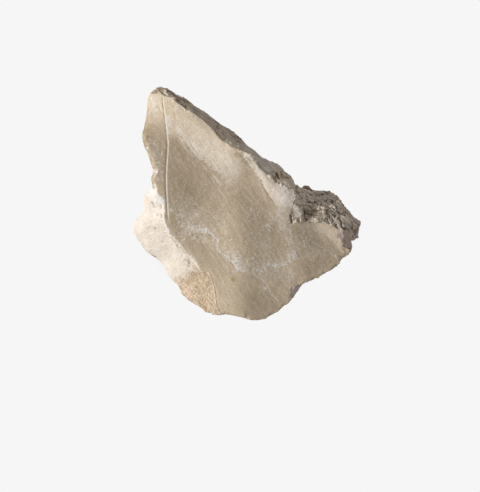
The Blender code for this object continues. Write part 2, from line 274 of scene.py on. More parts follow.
# hollows between the lumps of the rubbly corner: path, half width, depth
cavities = (
    (((18, 4.2), (18.3, 3.8)), 0.6, 0.7),
    (((19.2, 4.6), (20.4, 3.8)), 0.25, 0.4),
    (((18.8, 2.6), (19.6, 1.7)), 0.42, 0.5),
    (((20.7, 0.7), (22.3, 0.5), (24.8, 0.3)), 0.42, 0.8),
    (((22.3, 3.3), (23.6, 3.0)), 0.35, 0.5),
    (((24.6, 2.6), (26, 3.1)), 0.35, 0.6),
    (((26.8, 3.3), (28.6, 3.2)), 0.40, 0.7),
    (((22.6, 4.8), (23.6, 4.6)), 0.30, 0.5),
    (((24.2, 1.7), (24.6, 1.4)), 0.40, 0.5),
    (((27.8, 1.2), (28.8, 0.4), (29.6, 0.1)), 0.35, 0.5),
    (((30.3, 1.0), (30.4, 0.2)), 0.40, 0.8),
    (((31.8, 1.9), (32, 1.2)), 0.38, 0.7),
    (((32.4, 0), (32.6, -0.5)), 0.40, 0.5),
    (((22.4, -1.2), (22.9, -1.5)), 0.40, 0.7),
    (((26.4, -0.5), (27.2, -0.8)), 0.32, 0.4),
    (((26.5, -1.6), (26.9, -1.9)), 0.3, 0.4),
    (((20.4, -2.4), (20.8, -4), (21.2, -6.2)), 0.55, 1.1),
    (((21, -2.6), (22, -3.6), (21.6, -5.2)), 0.85, 0.7),
    (((21.6, -2.2), (21.7, -2.6)), 0.40, 0.6),
    (((23.3, -2.4), (24.2, -3.0)), 0.70, 0.7),
    (((22.2, -4.8), (23, -4.4)), 0.40, 0.8),
    (((23.8, -5.2), (24.3, -4.6)), 0.25, 0.4),
    (((28.3, -2.2), (28.8, -2.8)), 0.36, 0.7),
    (((28.4, -3.3), (29.6, -4.8)), 0.34, 1.0),
    (((28.5, -5.5), (29.3, -6.1)), 0.56, 0.9),
    (((30.6, -5.4), (30.9, -6.2)), 0.38, 0.6),
    (((31.9, -1.4), (32.4, -2.6), (33.6, -3.8)), 0.34, 0.6),
    (((33, -4.4), (33.5, -5.0)), 0.42, 0.6),
    (((34.5, -3.6), (34.9, -4.0)), 0.4, 0.6),
    (((30.6, -3.9), (31.8, -4.6), (33.4, -6.0), (34.2, -7.6)), 0.34, 1.1),
    (((31.8, -7.3), (32.6, -8.4)), 0.5, 0.9),
    (((34.1, -8.4), (34.8, -9.0)), 0.45, 1.0),
    (((35.6, -8.6), (36.1, -9.6), (36.4, -10.4)), 0.40, 1.0),
    (((37.6, -8.6), (37.9, -9.1)), 0.45, 0.6),
    (((38.2, -11.0), (38.6, -11.4)), 0.45, 0.6),
    (((38.9, -9), (38.7, -10.8)), 0.30, 0.4),
    (((39.5, -8.6), (39.6, -10.2)), 0.30, 0.4),
    (((36.8, -7.2), (37.7, -6.8)), 0.25, 0.4),
)

# pale crumbs standing up between the hollows
clumps = (
    (((25.2, -0.6), (25.8, -2)), 0.6, 0.25),
    (((24.6, -3.6), (27.4, -3.4)), 0.9, 0.3),
    (((25.2, -5.4), (27.4, -5.0)), 0.9, 0.25),
    (((28.2, -1.4), (28.7, -1.9)), 0.5, 0.25),
    (((30.2, -4.9), (31.4, -6.4)), 0.6, 0.25),
    (((29.9, -1), (30.7, -2.4)), 0.6, 0.2),
    (((27.6, -6.1), (28, -6.8)), 0.5, 0.3),
    (((26.8, 0.8), (28, -0.4)), 0.6, 0.3),
    (((27, 2.1), (29.4, 1.9)), 0.5, 0.25),
    (((34.9, -8.1), (35.2, -8.3)), 0.4, 0.3),
    (((34.2, -4.9), (36.8, -6.2)), 0.9, 0.1),
)

# brown pits in the cream break: path, half width, strength
pits = (
    (((-33.8, 0.2), (-33.1, -1.2)), 0.30, 1.0),
    (((-30.7, -0.9), (-30.6, -1.8)), 0.32, 0.9),
    (((-31.9, -3.7), (-32, -4.3)), 0.3, 0.6),
    (((-30.5, -4.2), (-30.3, -4.8)), 0.3, 1.0),
    (((-32.6, -8.7), (-32.4, -9.2)), 0.28, 0.9),
    (((-36.2, -6.7), (-36.1, -7)), 0.5, 0.35),
    (((-35.4, 1.8), (-35.3, 1.5)), 0.4, 0.5),
    (((-36.3, 2.8), (-36.2, 2.5)), 0.4, 0.5),
    (((-29.3, -8.7), (-29.1, -9.4)), 0.3, 0.6),
    (((-29, -10.6), (-28.7, -11)), 0.25, 0.6),
    (((-27.2, -10.4), (-26.8, -11)), 0.3, 0.8),
    (((-27, -12.2), (-26.6, -13)), 0.35, 0.8),
    (((-28.4, -13.2), (-28, -13.6)), 0.3, 0.5),
    (((-25.9, -13.3), (-25.5, -13.9)), 0.35, 0.8),
    (((-25, -14.8), (-24.6, -15.3)), 0.35, 0.9),
    (((-30.2, -13.4), (-29.8, -13.9)), 0.4, 0.4),
    (((-24.2, -16.3), (-23.9, -16.8)), 0.3, 0.5),
    (((-21.4, -18.9), (-20.9, -19.5)), 0.35, 0.6),
    (((-20.7, -20.1), (-20.3, -20.8)), 0.35, 0.6),
    (((-19.2, -21.1), (-18.9, -21.6)), 0.25, 0.8),
    (((-16.5, -22.9), (-16.3, -23.5)), 0.35, 0.7),
    (((-16.9, -25.2), (-16.4, -26.2)), 0.35, 0.8),
    (((-15.1, -25.6), (-14.8, -26.4)), 0.3, 0.8),
    (((-19.4, -27.5), (-18.8, -27.9)), 0.35, 0.9),
    (((-16.7, -28.1), (-16.4, -28.7)), 0.35, 0.7),
    (((-18.3, -29.7), (-17.4, -30.1)), 0.35, 1.0),
    (((-21.2, -28.4), (-20.8, -29)), 0.35, 0.7),
    (((-23.9, -30), (-23.4, -30.5)), 0.45, 0.7),
    (((-15.4, -29.7), (-15, -30.3)), 0.3, 0.7),
    (((-20.3, -30.3), (-20, -30.8)), 0.3, 0.5),
    (((-13.6, -26.8), (-13.4, -27.3)), 0.25, 0.7),
    (((-14.3, -28.2), (-14.1, -28.8)), 0.25, 0.6),
    (((-12.1, -32.5), (-11.9, -33.5)), 0.3, 0.9),
    (((-17.6, -32.8), (-17.4, -33.3)), 0.3, 0.5),
    (((-16, -34.2), (-15.6, -34.8)), 0.38, 1.0),
    (((-17.2, -34.6), (-16.4, -36)), 0.30, 1.0),
    (((-15.5, -36.5), (-14.3, -37.8)), 0.40, 0.9),
    (((-12.6, -35.5), (-12.3, -36)), 0.3, 0.7),
    (((-23, -32), (-22.7, -32.4)), 0.35, 0.5),
    (((-21.3, -33.6), (-20.7, -34)), 0.35, 0.6),
)

# colour laid on: path, half width, strength
marks = {
    # white deposit in a branching line
    "chalk": (
        (((-20.6, -7.6), (-17, -9.2)), 1.3, 0.72),
        (((-5.2, -20), (-4, -21.6)), 0.8, 0.77),
        (((10, -22), (11.4, -22.2)), 0.7, 0.72),
        (((-26.6, -2.5), (-26.2, -2.9)), 0.9, 0.64),
        (((-25.4, -4.7), (-24.3, -6.5)), 0.28, 0.97),
        (((-24.8, -3.6), (-22.6, -4.4)), 0.7, 0.56),
        (((-22.6, -7.4), (-20.5, -8.2), (-18.5, -8.5), (-16, -9), (-14.5, -9.8)), 1.5, 0.64),
        (((-21, -11), (-18.5, -11.3)), 0.9, 0.62),
        (((-22.9, -13.4), (-21.2, -11.8), (-19.6, -10.6)), 0.28, 0.77),
        (((-18.6, -4.1), (-16.2, -3.6)), 0.6, 0.64),
        (((-19.6, -8.2), (-19.8, -10)), 0.35, 0.82),
        (((-15.4, -9.4), (-13.4, -10.4), (-11.6, -11.4)), 0.42, 1.05),
        (((-11.6, -11.6), (-10.5, -12.9), (-10.05, -14.4)), 0.32, 1.1),
        (((-10.5, -15), (-10, -16.6), (-9.2, -17.6)), 0.3, 0.85),
        (((-7.8, -18.4), (-6.6, -18.7), (-5.8, -20.1)), 0.35, 1.08),
        (((-5.8, -20.3), (-4.9, -21.1), (-3.9, -22.3), (-2.9, -23.7)), 0.45, 1.08),
        (((-4.4, -19.6), (-1.6, -22.6)), 1.6, 0.57),
        (((-2.6, -23.9), (-0.8, -24.1), (0.7, -24)), 0.35, 0.84),
        (((3.2, -23.3), (3.6, -23.6), (4.1, -24.1)), 0.3, 0.97),
        (((4.6, -24), (6.6, -22.8), (8, -21.6), (8.2, -20.6)), 0.8, 0.67),
        (((9.4, -21.8), (10.8, -22.5), (12, -22.6)), 0.5, 0.84),
        (((13, -21.8), (14.4, -21.2), (15.4, -20.6)), 0.7, 0.74),
        (((15.4, -20.4), (15.8, -18.6), (17, -17.6)), 0.6, 0.67),
        (((16.4, -19.6), (17.6, -18.8)), 0.5, 0.72),
        (((20.6, -13.6), (21.2, -15.6)), 0.32, 0.82),
        (((0.2, -20.2), (1.6, -20), (3.6, -17.6)), 0.3, 0.64),
        (((0.6, -20.6), (1, -23)), 0.35, 0.67),
        (((-6.6, -12.9), (-5.8, -13.2), (-5, -12.9)), 0.22, 0.82),
        (((8.1, -9.2), (8.6, -9.9)), 0.3, 0.82),
        (((11.6, -1), (13.6, -5), (14.4, -8)), 1.6, 0.42),
        (((6.3, -30.2), (6.9, -30)), 0.5, 0.9),
        (((-34.6, 23), (-33.8, 22.4), (-33.6, 21.6)), 0.22, 0.5),
        (((-33.6, 17.4), (-32.8, 16.6)), 0.3, 0.5),
        (((-31, 14.4), (-30.2, 13.6)), 0.25, 0.5),
        (((-13.9, -2.6), (-13.4, -3.2)), 0.25, 0.7),
        (((-6.8, 3), (-6.4, 2.6)), 0.3, 0.7),
        (((8.6, -6), (9.2, -4.8)), 0.3, 0.7),
        (((7.8, -7.2), (8.1, -8)), 0.35, 0.75),
        (((-32.9, 11.5), (-32, 10.9), (-31.2, 11.8)), 0.4, 0.62),
        (((-35.5, 20.2), (-34.8, 19.2)), 0.5, 0.66),
        (((-25, 9), (-24.6, 8.8)), 0.35, 0.84),
        (((-24.8, 7.6), (-24.6, 7.4)), 0.3, 0.74),
        (((-14.8, 6.8), (-14.4, 6.6)), 0.35, 0.8),
        (((-30.1, 18.4), (-29.9, 17.3)), 0.35, 0.78),
        (((-32.7, 21.4), (-32.5, 20.6)), 0.4, 0.66),
        (((-31.3, 21), (-30.7, 21.8)), 0.35, 0.68),
    ),
    # paler veil
    "haze": (
        (((12.4, 0), (13.6, -8)), 3.0, 0.8),
        (((7, -8.5), (10, -5.5)), 1.3, 0.74),
        (((14.6, -9), (15, -14), (16.4, -18.5)), 2.2, 0.74),
        (((-24, -3.4), (-20, -5.4)), 2.4, 0.72),
        (((-24, -10), (-12, -12), (-4, -22), (8, -23), (18, -18)), 3.2, 0.66),
        (((-4, -18), (-1, -22)), 2.6, 0.74),
        (((12, -26), (16, -24.5), (14.5, -28)), 1.8, 0.66),
        (((-25.2, 27), (-20.8, 22.6), (-16, 18.4), (-11, 14.2)), 1.2, 0.85),
        (((-28, 31), (-27.6, 25.4)), 0.7, 0.95),
        (((-34, 38.6), (-33, 34)), 1.8, 0.68),
        (((-33.2, 32), (-33.4, 29.4)), 1.6, 0.6),
        (((-11, 12), (-7, 9), (-4, 12)), 2.6, 0.68),
        (((-22, 22), (-15, 15), (-9, 10), (-5, 5)), 3.2, 0.5),
        (((-33, 21), (-31, 9)), 2.2, 0.68),
        (((-24, 1), (-16, -4), (-8, -8)), 4.0, 0.61),
        (((2, -4), (6, -16)), 4.5, 0.58),
        (((-30, 36), (-22, 28), (-10, 18)), 4.0, 0.58),
        (((20, -14), (26, -18)), 4.5, 0.59),
        (((-6, -17), (0, -23), (3, -23)), 2.2, 0.72),
        (((5, -23.6), (9, -21.4), (15, -21), (16, -16), (14.4, -9)), 1.9, 0.76),
        (((-12, 14), (-8, 10)), 1.6, 0.85),
        (((-8, 17), (-5, 12)), 1.6, 0.75),
    ),
    # lilac white edges and facets; along the rim of the curl and beside the groove they are painted
    # highlights
    "paleAndHighlight": (
        (((-34.2, 38.2), (-33.4, 31)), 1.8, 0.4),
        (((11, 6.4), (10.4, 4.4), (11, 2), (13, -0.6)), 0.6, 0.8),
        (((13, 5.4), (14, 2), (14.8, 0.5)), 2.0, 0.75),
        (((17.2, 5.6), (17.1, 3.8), (17, 2.2), (16.3, 0.3)), 0.35, 0.8),
        (((16.6, -4.2), (17.6, -4.7), (19.2, -4.9)), 0.55, 0.85),
        (((17.4, -5.6), (17.5, -6.4)), 0.35, 0.6),
        (((19.4, -5.1), (19.7, -6.4)), 0.35, 0.6),
        (((12.1, 7.2), (12.3, 6.3)), 0.4, 0.95),
        (((13.2, 11.9), (13.3, 11.2)), 0.3, 0.5),
        (((11, 8.3), (12, 8.8), (14, 8.6), (16, 8.4)), 0.3, 0.6),
        (((-27.8, 28.4), (-28, 25)), 0.35, 0.7),
        (((3, 16.4), (3.7, 15.2), (5.6, 13.2), (7.4, 11)), 0.3, 0.6),
        (((8.5, 9.9), (9.6, 11), (11.2, 11.3)), 0.28, 0.6),
        (((-29.3, 40.3), (-28.9, 39.7)), 0.4, 0.8),
        (((-5.9, 21.8), (-5.6, 21.3)), 0.35, 0.8),
        (((-4.8, 19.8), (-4.5, 19.5)), 0.3, 0.7),
        (((33.2, -16.1), (34.7, -17.6)), 0.28, 0.6),
        (((34.9, -8), (36.2, -8.1)), 0.5, 0.95),
        (((-24, -19), (-22, -21), (-19.8, -23.6)), 0.6, 0.5),
    ),
    # white crust along the border of the cream break
    "crust": (
        (((-34.6, 4.4), (-33.2, 1.8), (-31, 1)), 1.8, 1.1),
        (((-30.8, 2), (-30, -1)), 0.8, 1.1),
        (((-29.9, -2.4), (-29.7, -5), (-29.2, -7.5), (-28.4, -10)), 0.5, 1.0),
        (((-28.4, -10), (-27, -12), (-24.2, -14.8)), 0.7, 0.65),
        (((-33.6, -1), (-31.4, -5)), 1.8, 0.65),
    ),
    # cream lines along edges
    "edge": (
        (((-19.9, -18.6), (-18.9, -20.6), (-17.9, -22.2), (-16.2, -24.2)), 0.4, 0.95),
        (((-20.4, -21.8), (-18.6, -24.6)), 0.4, 0.7),
        (((-24.6, 35), (-21, 33.7), (-19.4, 32.7)), 0.5, 0.75),
        (((1.2, 14.6), (3.6, 11.3), (5.6, 8.4), (7, 5)), 0.6, 0.95),
        (((0.6, 17.2), (1.6, 16.4), (2.8, 14.4), (5, 11.6), (7.2, 9.8)), 0.8, 1.0),
        (((26.8, -10.2), (29.4, -13.4)), 0.3, 0.5),
    ),
    # warm light stone
    "warm": (
        (((-13.4, -24.8), (-12.5, -26.8), (-11.7, -29), (-11.25, -31.5), (-11, -33.4), (-11.2, -35.4)),
         0.7, 1.0),
        (((8.4, -38.8), (12.2, -36.2), (15.2, -33.6)), 1.0, 0.5),
        (((17, -29), (20, -27.6), (24, -25.8)), 0.9, 0.4),
        (((25.6, -8), (28.4, -8.6), (30.6, -10.2), (31.6, -12.6), (33.4, -14.4)), 1.1, 0.8),
    ),
    # brown stain, and painted shade in the holes, the flutes and the small cliff that some strokes follow
    "brownStainAndShade": (
        (((-29.3, 8), (-29.2, 3), (-29.1, -1), (-29, -4), (-28.7, -6.6)), 0.35, 0.55),
        (((34.7, -14.9), (36.8, -16.1)), 0.26, 0.85),
        (((32.7, -19), (33.2, -19.4)), 0.5, 0.8),
        (((18.4, -10.4), (19.6, -11.4)), 0.3, 0.5),
        (((-10.6, 25), (-9.8, 23.8), (-8.4, 22.7)), 0.5, 0.75),
        (((-28.4, 40.1), (-27, 39.2), (-25.5, 38.2), (-24, 37.2), (-22.5, 36.4), (-20.8, 35.5)), 0.28, 1.0),
        (((-24.8, 36.7), (-23.7, 35.8)), 0.45, 0.9),
        (((-23.5, 35.4), (-22.3, 34.6), (-21.7, 33.8)), 0.35, 0.9),
        (((-33.2, 39.8), (-31.6, 39.6), (-30, 40)), 0.7, 0.55),
        (((-30.8, 39.2), (-28.6, 38.3)), 0.4, 0.6),
        (((-6.8, 21.2), (-4, 20.8)), 0.6, 0.4),
        (((-2.4, 19.4), (0.6, 18.2), (2.8, 16.9)), 0.4, 0.5),
        (((3.9, 14.4), (5.2, 12.4), (7.6, 10.4)), 0.35, 0.8),
        (((17.8, 5.5), (18.2, 3.8)), 0.6, 0.55),
        (((20.4, 5.6), (21.9, 5.5)), 0.8, 0.85),
        (((22.6, 4.5), (24, 4.4)), 0.3, 0.9),
        (((17.6, 5.8), (17.6, 3.4)), 0.35, 0.75),
        (((-17.4, -34.6), (-15.4, -37.4), (-13.6, -38.4)), 0.5, 0.5),
        (((15.7, -29.9), (17.2, -29.6), (18.6, -29)), 0.22, 0.9),
        (((15.5, -30.2), (15.9, -31.8)), 0.4, 0.7),
        (((-34, -17.9), (-32.6, -18.9)), 0.3, 0.9),
        (((-24, -5.8), (-22.9, -7.7)), 0.22, 0.55),
        (((0.1, -34.6), (0.3, -35)), 0.4, 0.45),
        (((-19.7, -11.1), (-19.3, -11.5)), 0.34, 1.0),
        (((-16.1, -10.9), (-15.8, -11.3)), 0.32, 0.9),
        (((-13.6, -11.2), (-13.2, -11.6)), 0.3, 0.9),
        (((-6.1, -20.9), (-5.2, -21.8)), 0.3, 0.9),
        (((-10, -39.5), (-8.6, -38.9)), 0.5, 0.5),
        (((-17.9, -11.8), (-17.6, -12.1)), 0.3, 0.85),
        (((-21.2, -10.4), (-20.8, -10.7)), 0.28, 0.7),
        (((-9.9, -17.9), (-9.4, -18.3)), 0.3, 0.7),
        (((1.5, -23), (1.75, -24.4)), 0.28, 0.9),
        (((16.6, 0), (18.2, -0.6), (20.4, -1.4)), 0.5, 0.6),
        (((12.2, 10.9), (12.4, 9.9)), 0.3, 0.8),
        (((-4.8, 24.6), (-3, 22.8)), 1.2, 0.66),
        (((37.3, -7.4), (38.2, -9.6), (38.4, -11.2)), 0.45, 0.75),
        (((33.2, -6.9), (33.8, -8), (34.8, -9.2)), 0.35, 0.8),
        (((32, -9), (32.6, -10.6), (32.6, -12)), 0.3, 0.6),
        (((39.3, -7.4), (39.2, -10.4)), 0.35, 0.65),
        (((-33.6, 39.5), (-31.4, 40.5), (-29.6, 40.9)), 0.7, 0.7),
        (((-31, 39), (-30, 38.6)), 0.35, 0.7),
        (((-11.2, 25.2), (-9.4, 23.2)), 0.35, 0.8),
        (((-10.8, 27.6), (-10.2, 26.4)), 0.4, 0.8),
        (((15.65, -4.1), (15.85, -5.4), (16.15, -6.8)), 0.24, 0.95),
        (((18.3, -5.6), (18.5, -6.3)), 0.35, 0.8),
        (((10.4, 10.8), (10.7, 9.8), (11.3, 8.9)), 0.4, 1.0),
        (((9.9, 9.8), (10.1, 8.6)), 0.35, 0.9),
        (((10.2, 8), (10.7, 7.5), (11.6, 6.9)), 0.25, 0.85),
        (((12.8, 7.3), (13.3, 6.6), (14.3, 5.9)), 0.2, 0.6),
        (((12.2, 9.9), (13.6, 9.8)), 0.6, 0.5),
        (((-17.2, -34.7), (-16.8, -35.5), (-15.9, -36.3)), 0.3, 0.9),
        (((-15.4, -36.6), (-14.8, -37.4), (-14.2, -38)), 0.4, 0.85),
        (((-18.3, -29.6), (-17.4, -29.9), (-18, -30.2)), 0.3, 0.8),
        (((9.2, 9.9), (9.8, 8.6)), 0.35, 0.85),
        (((11.9, 11.3), (12.6, 9.9), (14.4, 9.5)), 0.35, 0.7),
        (((13.4, 11), (14, 10.2)), 0.25, 0.7),
    ),
    # reddish tint
    "rose": (
        (((38.4, -6), (38.4, -11.8)), 2.0, 1.0),
        (((35, -6), (37, -7.6)), 1.0, 0.6),
    ),
    # orange tan
    "ochre": (
        (((-36.8, 28.6), (-37.2, 24), (-36.2, 20.4)), 1.5, 0.95),
        (((-36, 27), (-35.4, 21)), 2.2, 0.55),
        (((-35.2, 19), (-34.4, 16), (-33.3, 12.6)), 1.0, 1.0),
        (((-33.8, 10), (-33.2, 6)), 0.8, 0.95),
        (((-33.6, 39.6), (-31, 40.6), (-28.6, 40)), 1.0, 0.9),
        (((-27.4, 38.4), (-24, 36.6)), 0.9, 0.65),
        (((34.4, -16), (35.4, -17.2), (33.2, -18.4)), 1.5, 0.68),
        (((10.2, 2.6), (10.6, 1.6)), 0.6, 0.5),
        (((-27.6, 17.6), (-27.2, 16.6)), 0.4, 0.55),
        (((-30.2, 38.1), (-30.15, 36), (-29.85, 34), (-29.8, 31.6)), 0.2, 1.0),
        (((-27.5, -10.6), (-25, -14.4), (-22, -18.4), (-19, -22.2), (-15, -24.4)), 0.8, 0.62),
        (((-20.6, -20.6), (-18.6, -23.6)), 1.8, 0.62),
        (((0.2, 16.2), (2, 13.4), (4.1, 9.9), (5.9, 6.3), (7.3, 3.1), (9.3, 0.6)), 0.35, 1.0),
        (((-3.6, 17.4), (-2, 16.4), (-0.4, 14.2)), 0.9, 0.88),
        (((-40, -10), (-39.4, -12)), 0.6, 0.35),
    ),
    # light olive earth
    "sand": (
        (((-28, 39), (-24.6, 37), (-20.6, 34.6)), 1.7, 0.72),
        (((-28.6, 38.1), (-27.4, 37.9)), 0.4, 0.9),
        (((-23.6, 36.3), (-21.6, 35.2)), 0.8, 1.0),
        (((-21.4, 34.8), (-20.4, 33.2)), 0.7, 0.9),
        (((-27.2, 37.4), (-25.4, 36.9)), 0.45, 0.75),
        (((-24.8, 38.5), (-21.4, 36.8)), 0.3, 0.75),
        (((-19.4, 34.2), (-16.6, 32.6), (-13.8, 31)), 0.45, 0.6),
        (((-9.2, 26), (-6.4, 24.4)), 0.5, 0.6),
        (((-10, 24.6), (-7.6, 22.6), (-4.2, 21), (0, 19.1), (2.4, 17.2)), 1.3, 0.95),
        (((2.6, 17), (4, 14.8), (5.2, 12.8)), 0.5, 0.9),
        (((-29, -17), (-24.6, -22.4)), 3.4, 0.62),
    ),
    # one orange speck
    "rust": (
        (((-5.1, -27), (-4.9, -27.2)), 0.75, 1.0),
    ),
    # olive tint
    "olive": (
        (((-27.6, -4), (-26.8, -9), (-24.6, -12.4)), 1.4, 0.5),
        (((-23.4, -14.4), (-21, -17)), 1.2, 0.4),
    ),
}

# straight scratches: path, half width, strength
scratches = (
    (((-12.2, 10.2), (-9.4, 5.9)), 0.2, 1),
    (((-11.6, 9.9), (-9.2, 6.6)), 0.2, 0.7),
    (((-10.7, 6.3), (-6.9, 0.1)), 0.2, 0.45),
    (((-1.6, 3.7), (2.4, -0.2)), 0.2, 0.5),
    (((-22.4, 6.6), (-22.6, 3.4)), 0.2, 0.6),
    (((-25, 24.6), (-20.4, 17.8)), 0.2, 0.6),
    (((-20.3, 19.4), (-16.4, 15.6)), 0.2, 0.9),
    (((-19.6, 20.6), (-15.6, 16.4)), 0.2, 0.7),
    (((-28, 18), (-27, 16)), 0.2, 0.7),
    (((-24.6, 22.4), (-19.2, 16.6)), 0.2, 0.6),
    (((3.8, 8.6), (7.4, -0.6)), 0.2, 0.45),
    (((-6, 9), (-2.6, 4.2)), 0.2, 0.45),
    (((24.6, -13.6), (27.8, -17)), 0.2, 0.25),
    (((26.8, -13), (30.4, -16.8)), 0.2, 0.25),
    (((9.8, -4.8), (12, -6.4)), 0.2, 0.6),
    (((-24.9, 26.8), (-23.8, 24.2)), 0.24, 0.6),
    (((-22.6, 23.6), (-18.6, 17.6)), 0.24, 0.7),
    (((-21.6, 22), (-19.6, 19.4)), 0.2, 0.8),
    (((-19.3, 21.5), (-17.4, 18.8)), 0.2, 0.6),
    (((-17, 18), (-12.8, 12)), 0.24, 0.6),
    (((-14.6, 15.8), (-13.2, 13.6)), 0.2, 0.7),
    (((-12.4, 14.6), (-10.8, 12.4)), 0.22, 0.8),
    (((-13, 9.6), (-11.7, 7.6)), 0.2, 0.6),
    (((-25.7, 16.4), (-24.4, 15)), 0.24, 0.6),
    (((-24, 15.6), (-22.6, 14.2)), 0.24, 0.6),
    (((-21.6, 16.6), (-20.6, 15.2)), 0.22, 0.6),
    (((-19.4, 14.6), (-18.4, 13.2)), 0.22, 0.7),
    (((-26.8, 13.6), (-24.6, 11.6)), 0.2, 0.4),
    (((-10.6, 5.2), (-7.6, 2.2)), 0.2, 0.6),
    (((-7.4, 9), (-5.4, 6.4)), 0.2, 0.5),
    (((29.4, -12), (32.6, -15.2)), 0.2, 0.25),
)

# bands of fine scratches: path, half width, strength
scuffs = (
    (((-26, 27), (-21, 22.2), (-15, 16.4)), 2.6, 0.5),
    (((-16, 16), (-11, 11), (-7, 5)), 2.6, 0.33),
    (((-4, 8), (2, 0)), 3.0, 0.2),
    (((21, -8.5), (26, -13), (31, -18)), 2.8, 0.34),
    (((26, -8), (31, -12)), 1.8, 0.38),
    (((-33, 23), (-31, 10)), 2.4, 0.34),
    (((8, -4), (15, -8)), 2.4, 0.38),
)

# the flat spot underneath that the stone rests on
restSpot = ((-11.5, 1), (-5.5, 4), (1.5, 1), (3.5, -6), (-1.5, -12), (-9.5, -12), (-14.5, -6))

# softly lighter (+) and darker (-) parts of the smooth face, partly its own tone and partly painted light
# and shade on its slopes: path, half width, strength
toneAndPaintedLight = (
    (((-22, 30), (-15, 24), (-4, 15)), 5.0, 0.8),
    (((-13, 18), (-4, 11)), 3.6, 0.6),
    (((-32.6, 18), (-31.2, 8)), 2.0, -0.8),
    (((-33, 32), (-33.2, 29)), 2.4, 0.35),
    (((-28, 37.2), (-27.6, 35)), 1.5, -0.4),
    (((19.2, -7.6), (21.6, -8)), 1.0, 0.9),
    (((22, -24.4), (29, -20.4)), 2.6, -0.35),
    (((-36, 38), (-36, 31)), 1.8, -0.6),
    (((-25, 14), (-21, 4)), 6.0, -0.5),
    (((-35.2, 28), (-34.6, 22)), 2.8, -1.1),
    (((-19, 15.5), (-13, 11)), 2.6, -0.5),
    (((-20, -15), (-12, -21)), 3.4, -0.5),
    (((-1, 2), (3, -6)), 3.6, -0.4),
    (((25.8, -8.6), (28.6, -9.6), (31.2, -11.8), (33.4, -15)), 1.7, 1.5),
    (((24, -13.4), (32.4, -17.6)), 2.4, -0.7),
    (((-25, 21.4), (-20.6, 17.6), (-16.6, 15.2), (-12.8, 11)), 2.4, -1.1),
    (((-24, 32), (-19, 29)), 3.6, -0.35),
    (((-5, 17.6), (-1.8, 13), (-0.6, 11)), 2.0, -0.65),
    (((-5, 5), (-3, 3)), 2.5, -0.8),
    (((-24.6, 3), (-24.6, -12)), 2.2, -0.4),
    (((-12, -2), (-12, -6)), 2.4, -0.35),
    (((15.6, -10), (16.6, -13)), 1.8, -0.45),
    (((6, -5), (8, -8.6)), 2.2, -0.35),
    (((8, -7), (9, -12)), 2.6, -0.4),
    (((15.5, -8.4), (17.2, -8.6)), 1.4, -0.45),
    (((-26, -5.6), (-24.4, -11)), 1.5, -0.7),
    (((2, -26), (16, -24)), 3.2, 0.25),
    (((2, -34), (9, -36.6)), 3.0, -0.35),
    (((-27.6, 30), (-27.4, 25)), 1.2, 0.7),
)

# small pushes on the outline: from above, at, reach, push
nudges = (
    ((-33.6, 8.6), 2.0, (-0.22, 0)),
    ((-35.6, -16.4), 4.0, (-0.24, -0.24)),
    ((-26.5, -26.7), 4.0, (-0.26, -0.22)),
    ((-22.6, -32.2), 3.0, (-0.12, -0.1)),
    ((-10.5, -39.2), 4.0, (0, -0.14)),
    ((3.4, -41.2), 4.0, (0, -0.15)),
    ((25.9, -25.6), 3.5, (0.1, -0.18)),
    ((31.3, -22.1), 3.0, (0.12, -0.15)),
    ((40.3, -7.1), 1.0, (0.5, 0.05)),
    ((39.6, -12.2), 1.1, (0.5, -0.7)),
    ((38, -12.6), 0.8, (0, -0.3)),
    ((36.9, -13.2), 0.7, (-0.4, 0.5)),
    ((1.6, 20), 2.6, (-0.2, -0.25)),
    ((4.7, 17.5), 2.0, (-0.15, -0.18)),
    ((-38.1, -3.7), 2.0, (0.25, 0)),
    ((-4.7, 26), 0.6, (-0.15, -0.25)),
    ((13.6, 11.7), 0.7, (-0.35, -0.3)),
    ((16, 10.3), 0.7, (-0.4, -0.35)),
    ((17.7, 7.1), 0.9, (-0.5, -0.35)),
    ((18, 6.2), 0.7, (0, 0.35)),
    ((19.2, 5.9), 0.7, (-0.1, -0.3)),
    ((21.2, 6.1), 1.1, (0, 0.35)),
    ((30.6, 4.0), 1.2, (0.1, 0.15)),
)


def ramp(value, start, end):
    t = np.clip((value - start) / (end - start), 0, 1)
    return t * t * (3 - 2 * t)


def pathGap(xy, path):
    # distance from every point to an open path
    gap = np.full(len(xy), np.inf)
    for a, b in zip(np.array(path[:-1], float), np.array(path[1:], float)):
        run = b - a
        t = np.clip((xy - a) @ run / (run @ run), 0, 1)
        gap = np.minimum(gap, np.linalg.norm(xy - a - t[:, None] * run, axis=1))
    return gap


def insideGap(xy, loop):
    # distance to a closed outline, positive inside it
    closed = tuple(loop) + (loop[0],)
    inside = np.zeros(len(xy), bool)
    for (ax, ay), (bx, by) in zip(closed[:-1], closed[1:]):
        spans = (ay > xy[:, 1]) != (by > xy[:, 1])
        if ay != by:
            inside ^= spans & (xy[:, 0] < ax + (xy[:, 1] - ay) / (by - ay) * (bx - ax))
    gap = pathGap(xy, closed)
    return np.where(inside, gap, -gap)


def bell(xy, path, halfWidth):
    # 1 on the path, fading away softly to both sides
    return np.exp(-((pathGap(xy, path) / halfWidth) ** 2))


def strokeSum(xy, strokes):
    total = np.zeros(len(xy))
    for path, halfWidth, amount in strokes:
        total += amount * bell(xy, path, halfWidth)
    return total


def strokeMost(xy, strokes):
    most = np.zeros(len(xy))
    for path, halfWidth, amount in strokes:
        most = np.maximum(most, amount * bell(xy, path, halfWidth))
    return most


def strokePaint(xy, strokes):
    # even inside a stroke, fading out past its half width
    most = np.zeros(len(xy))
    for path, halfWidth, amount in strokes:
        most = np.maximum(most, amount * (1 - ramp(pathGap(xy, path) / halfWidth, 0.4, 1.7)))
    return most


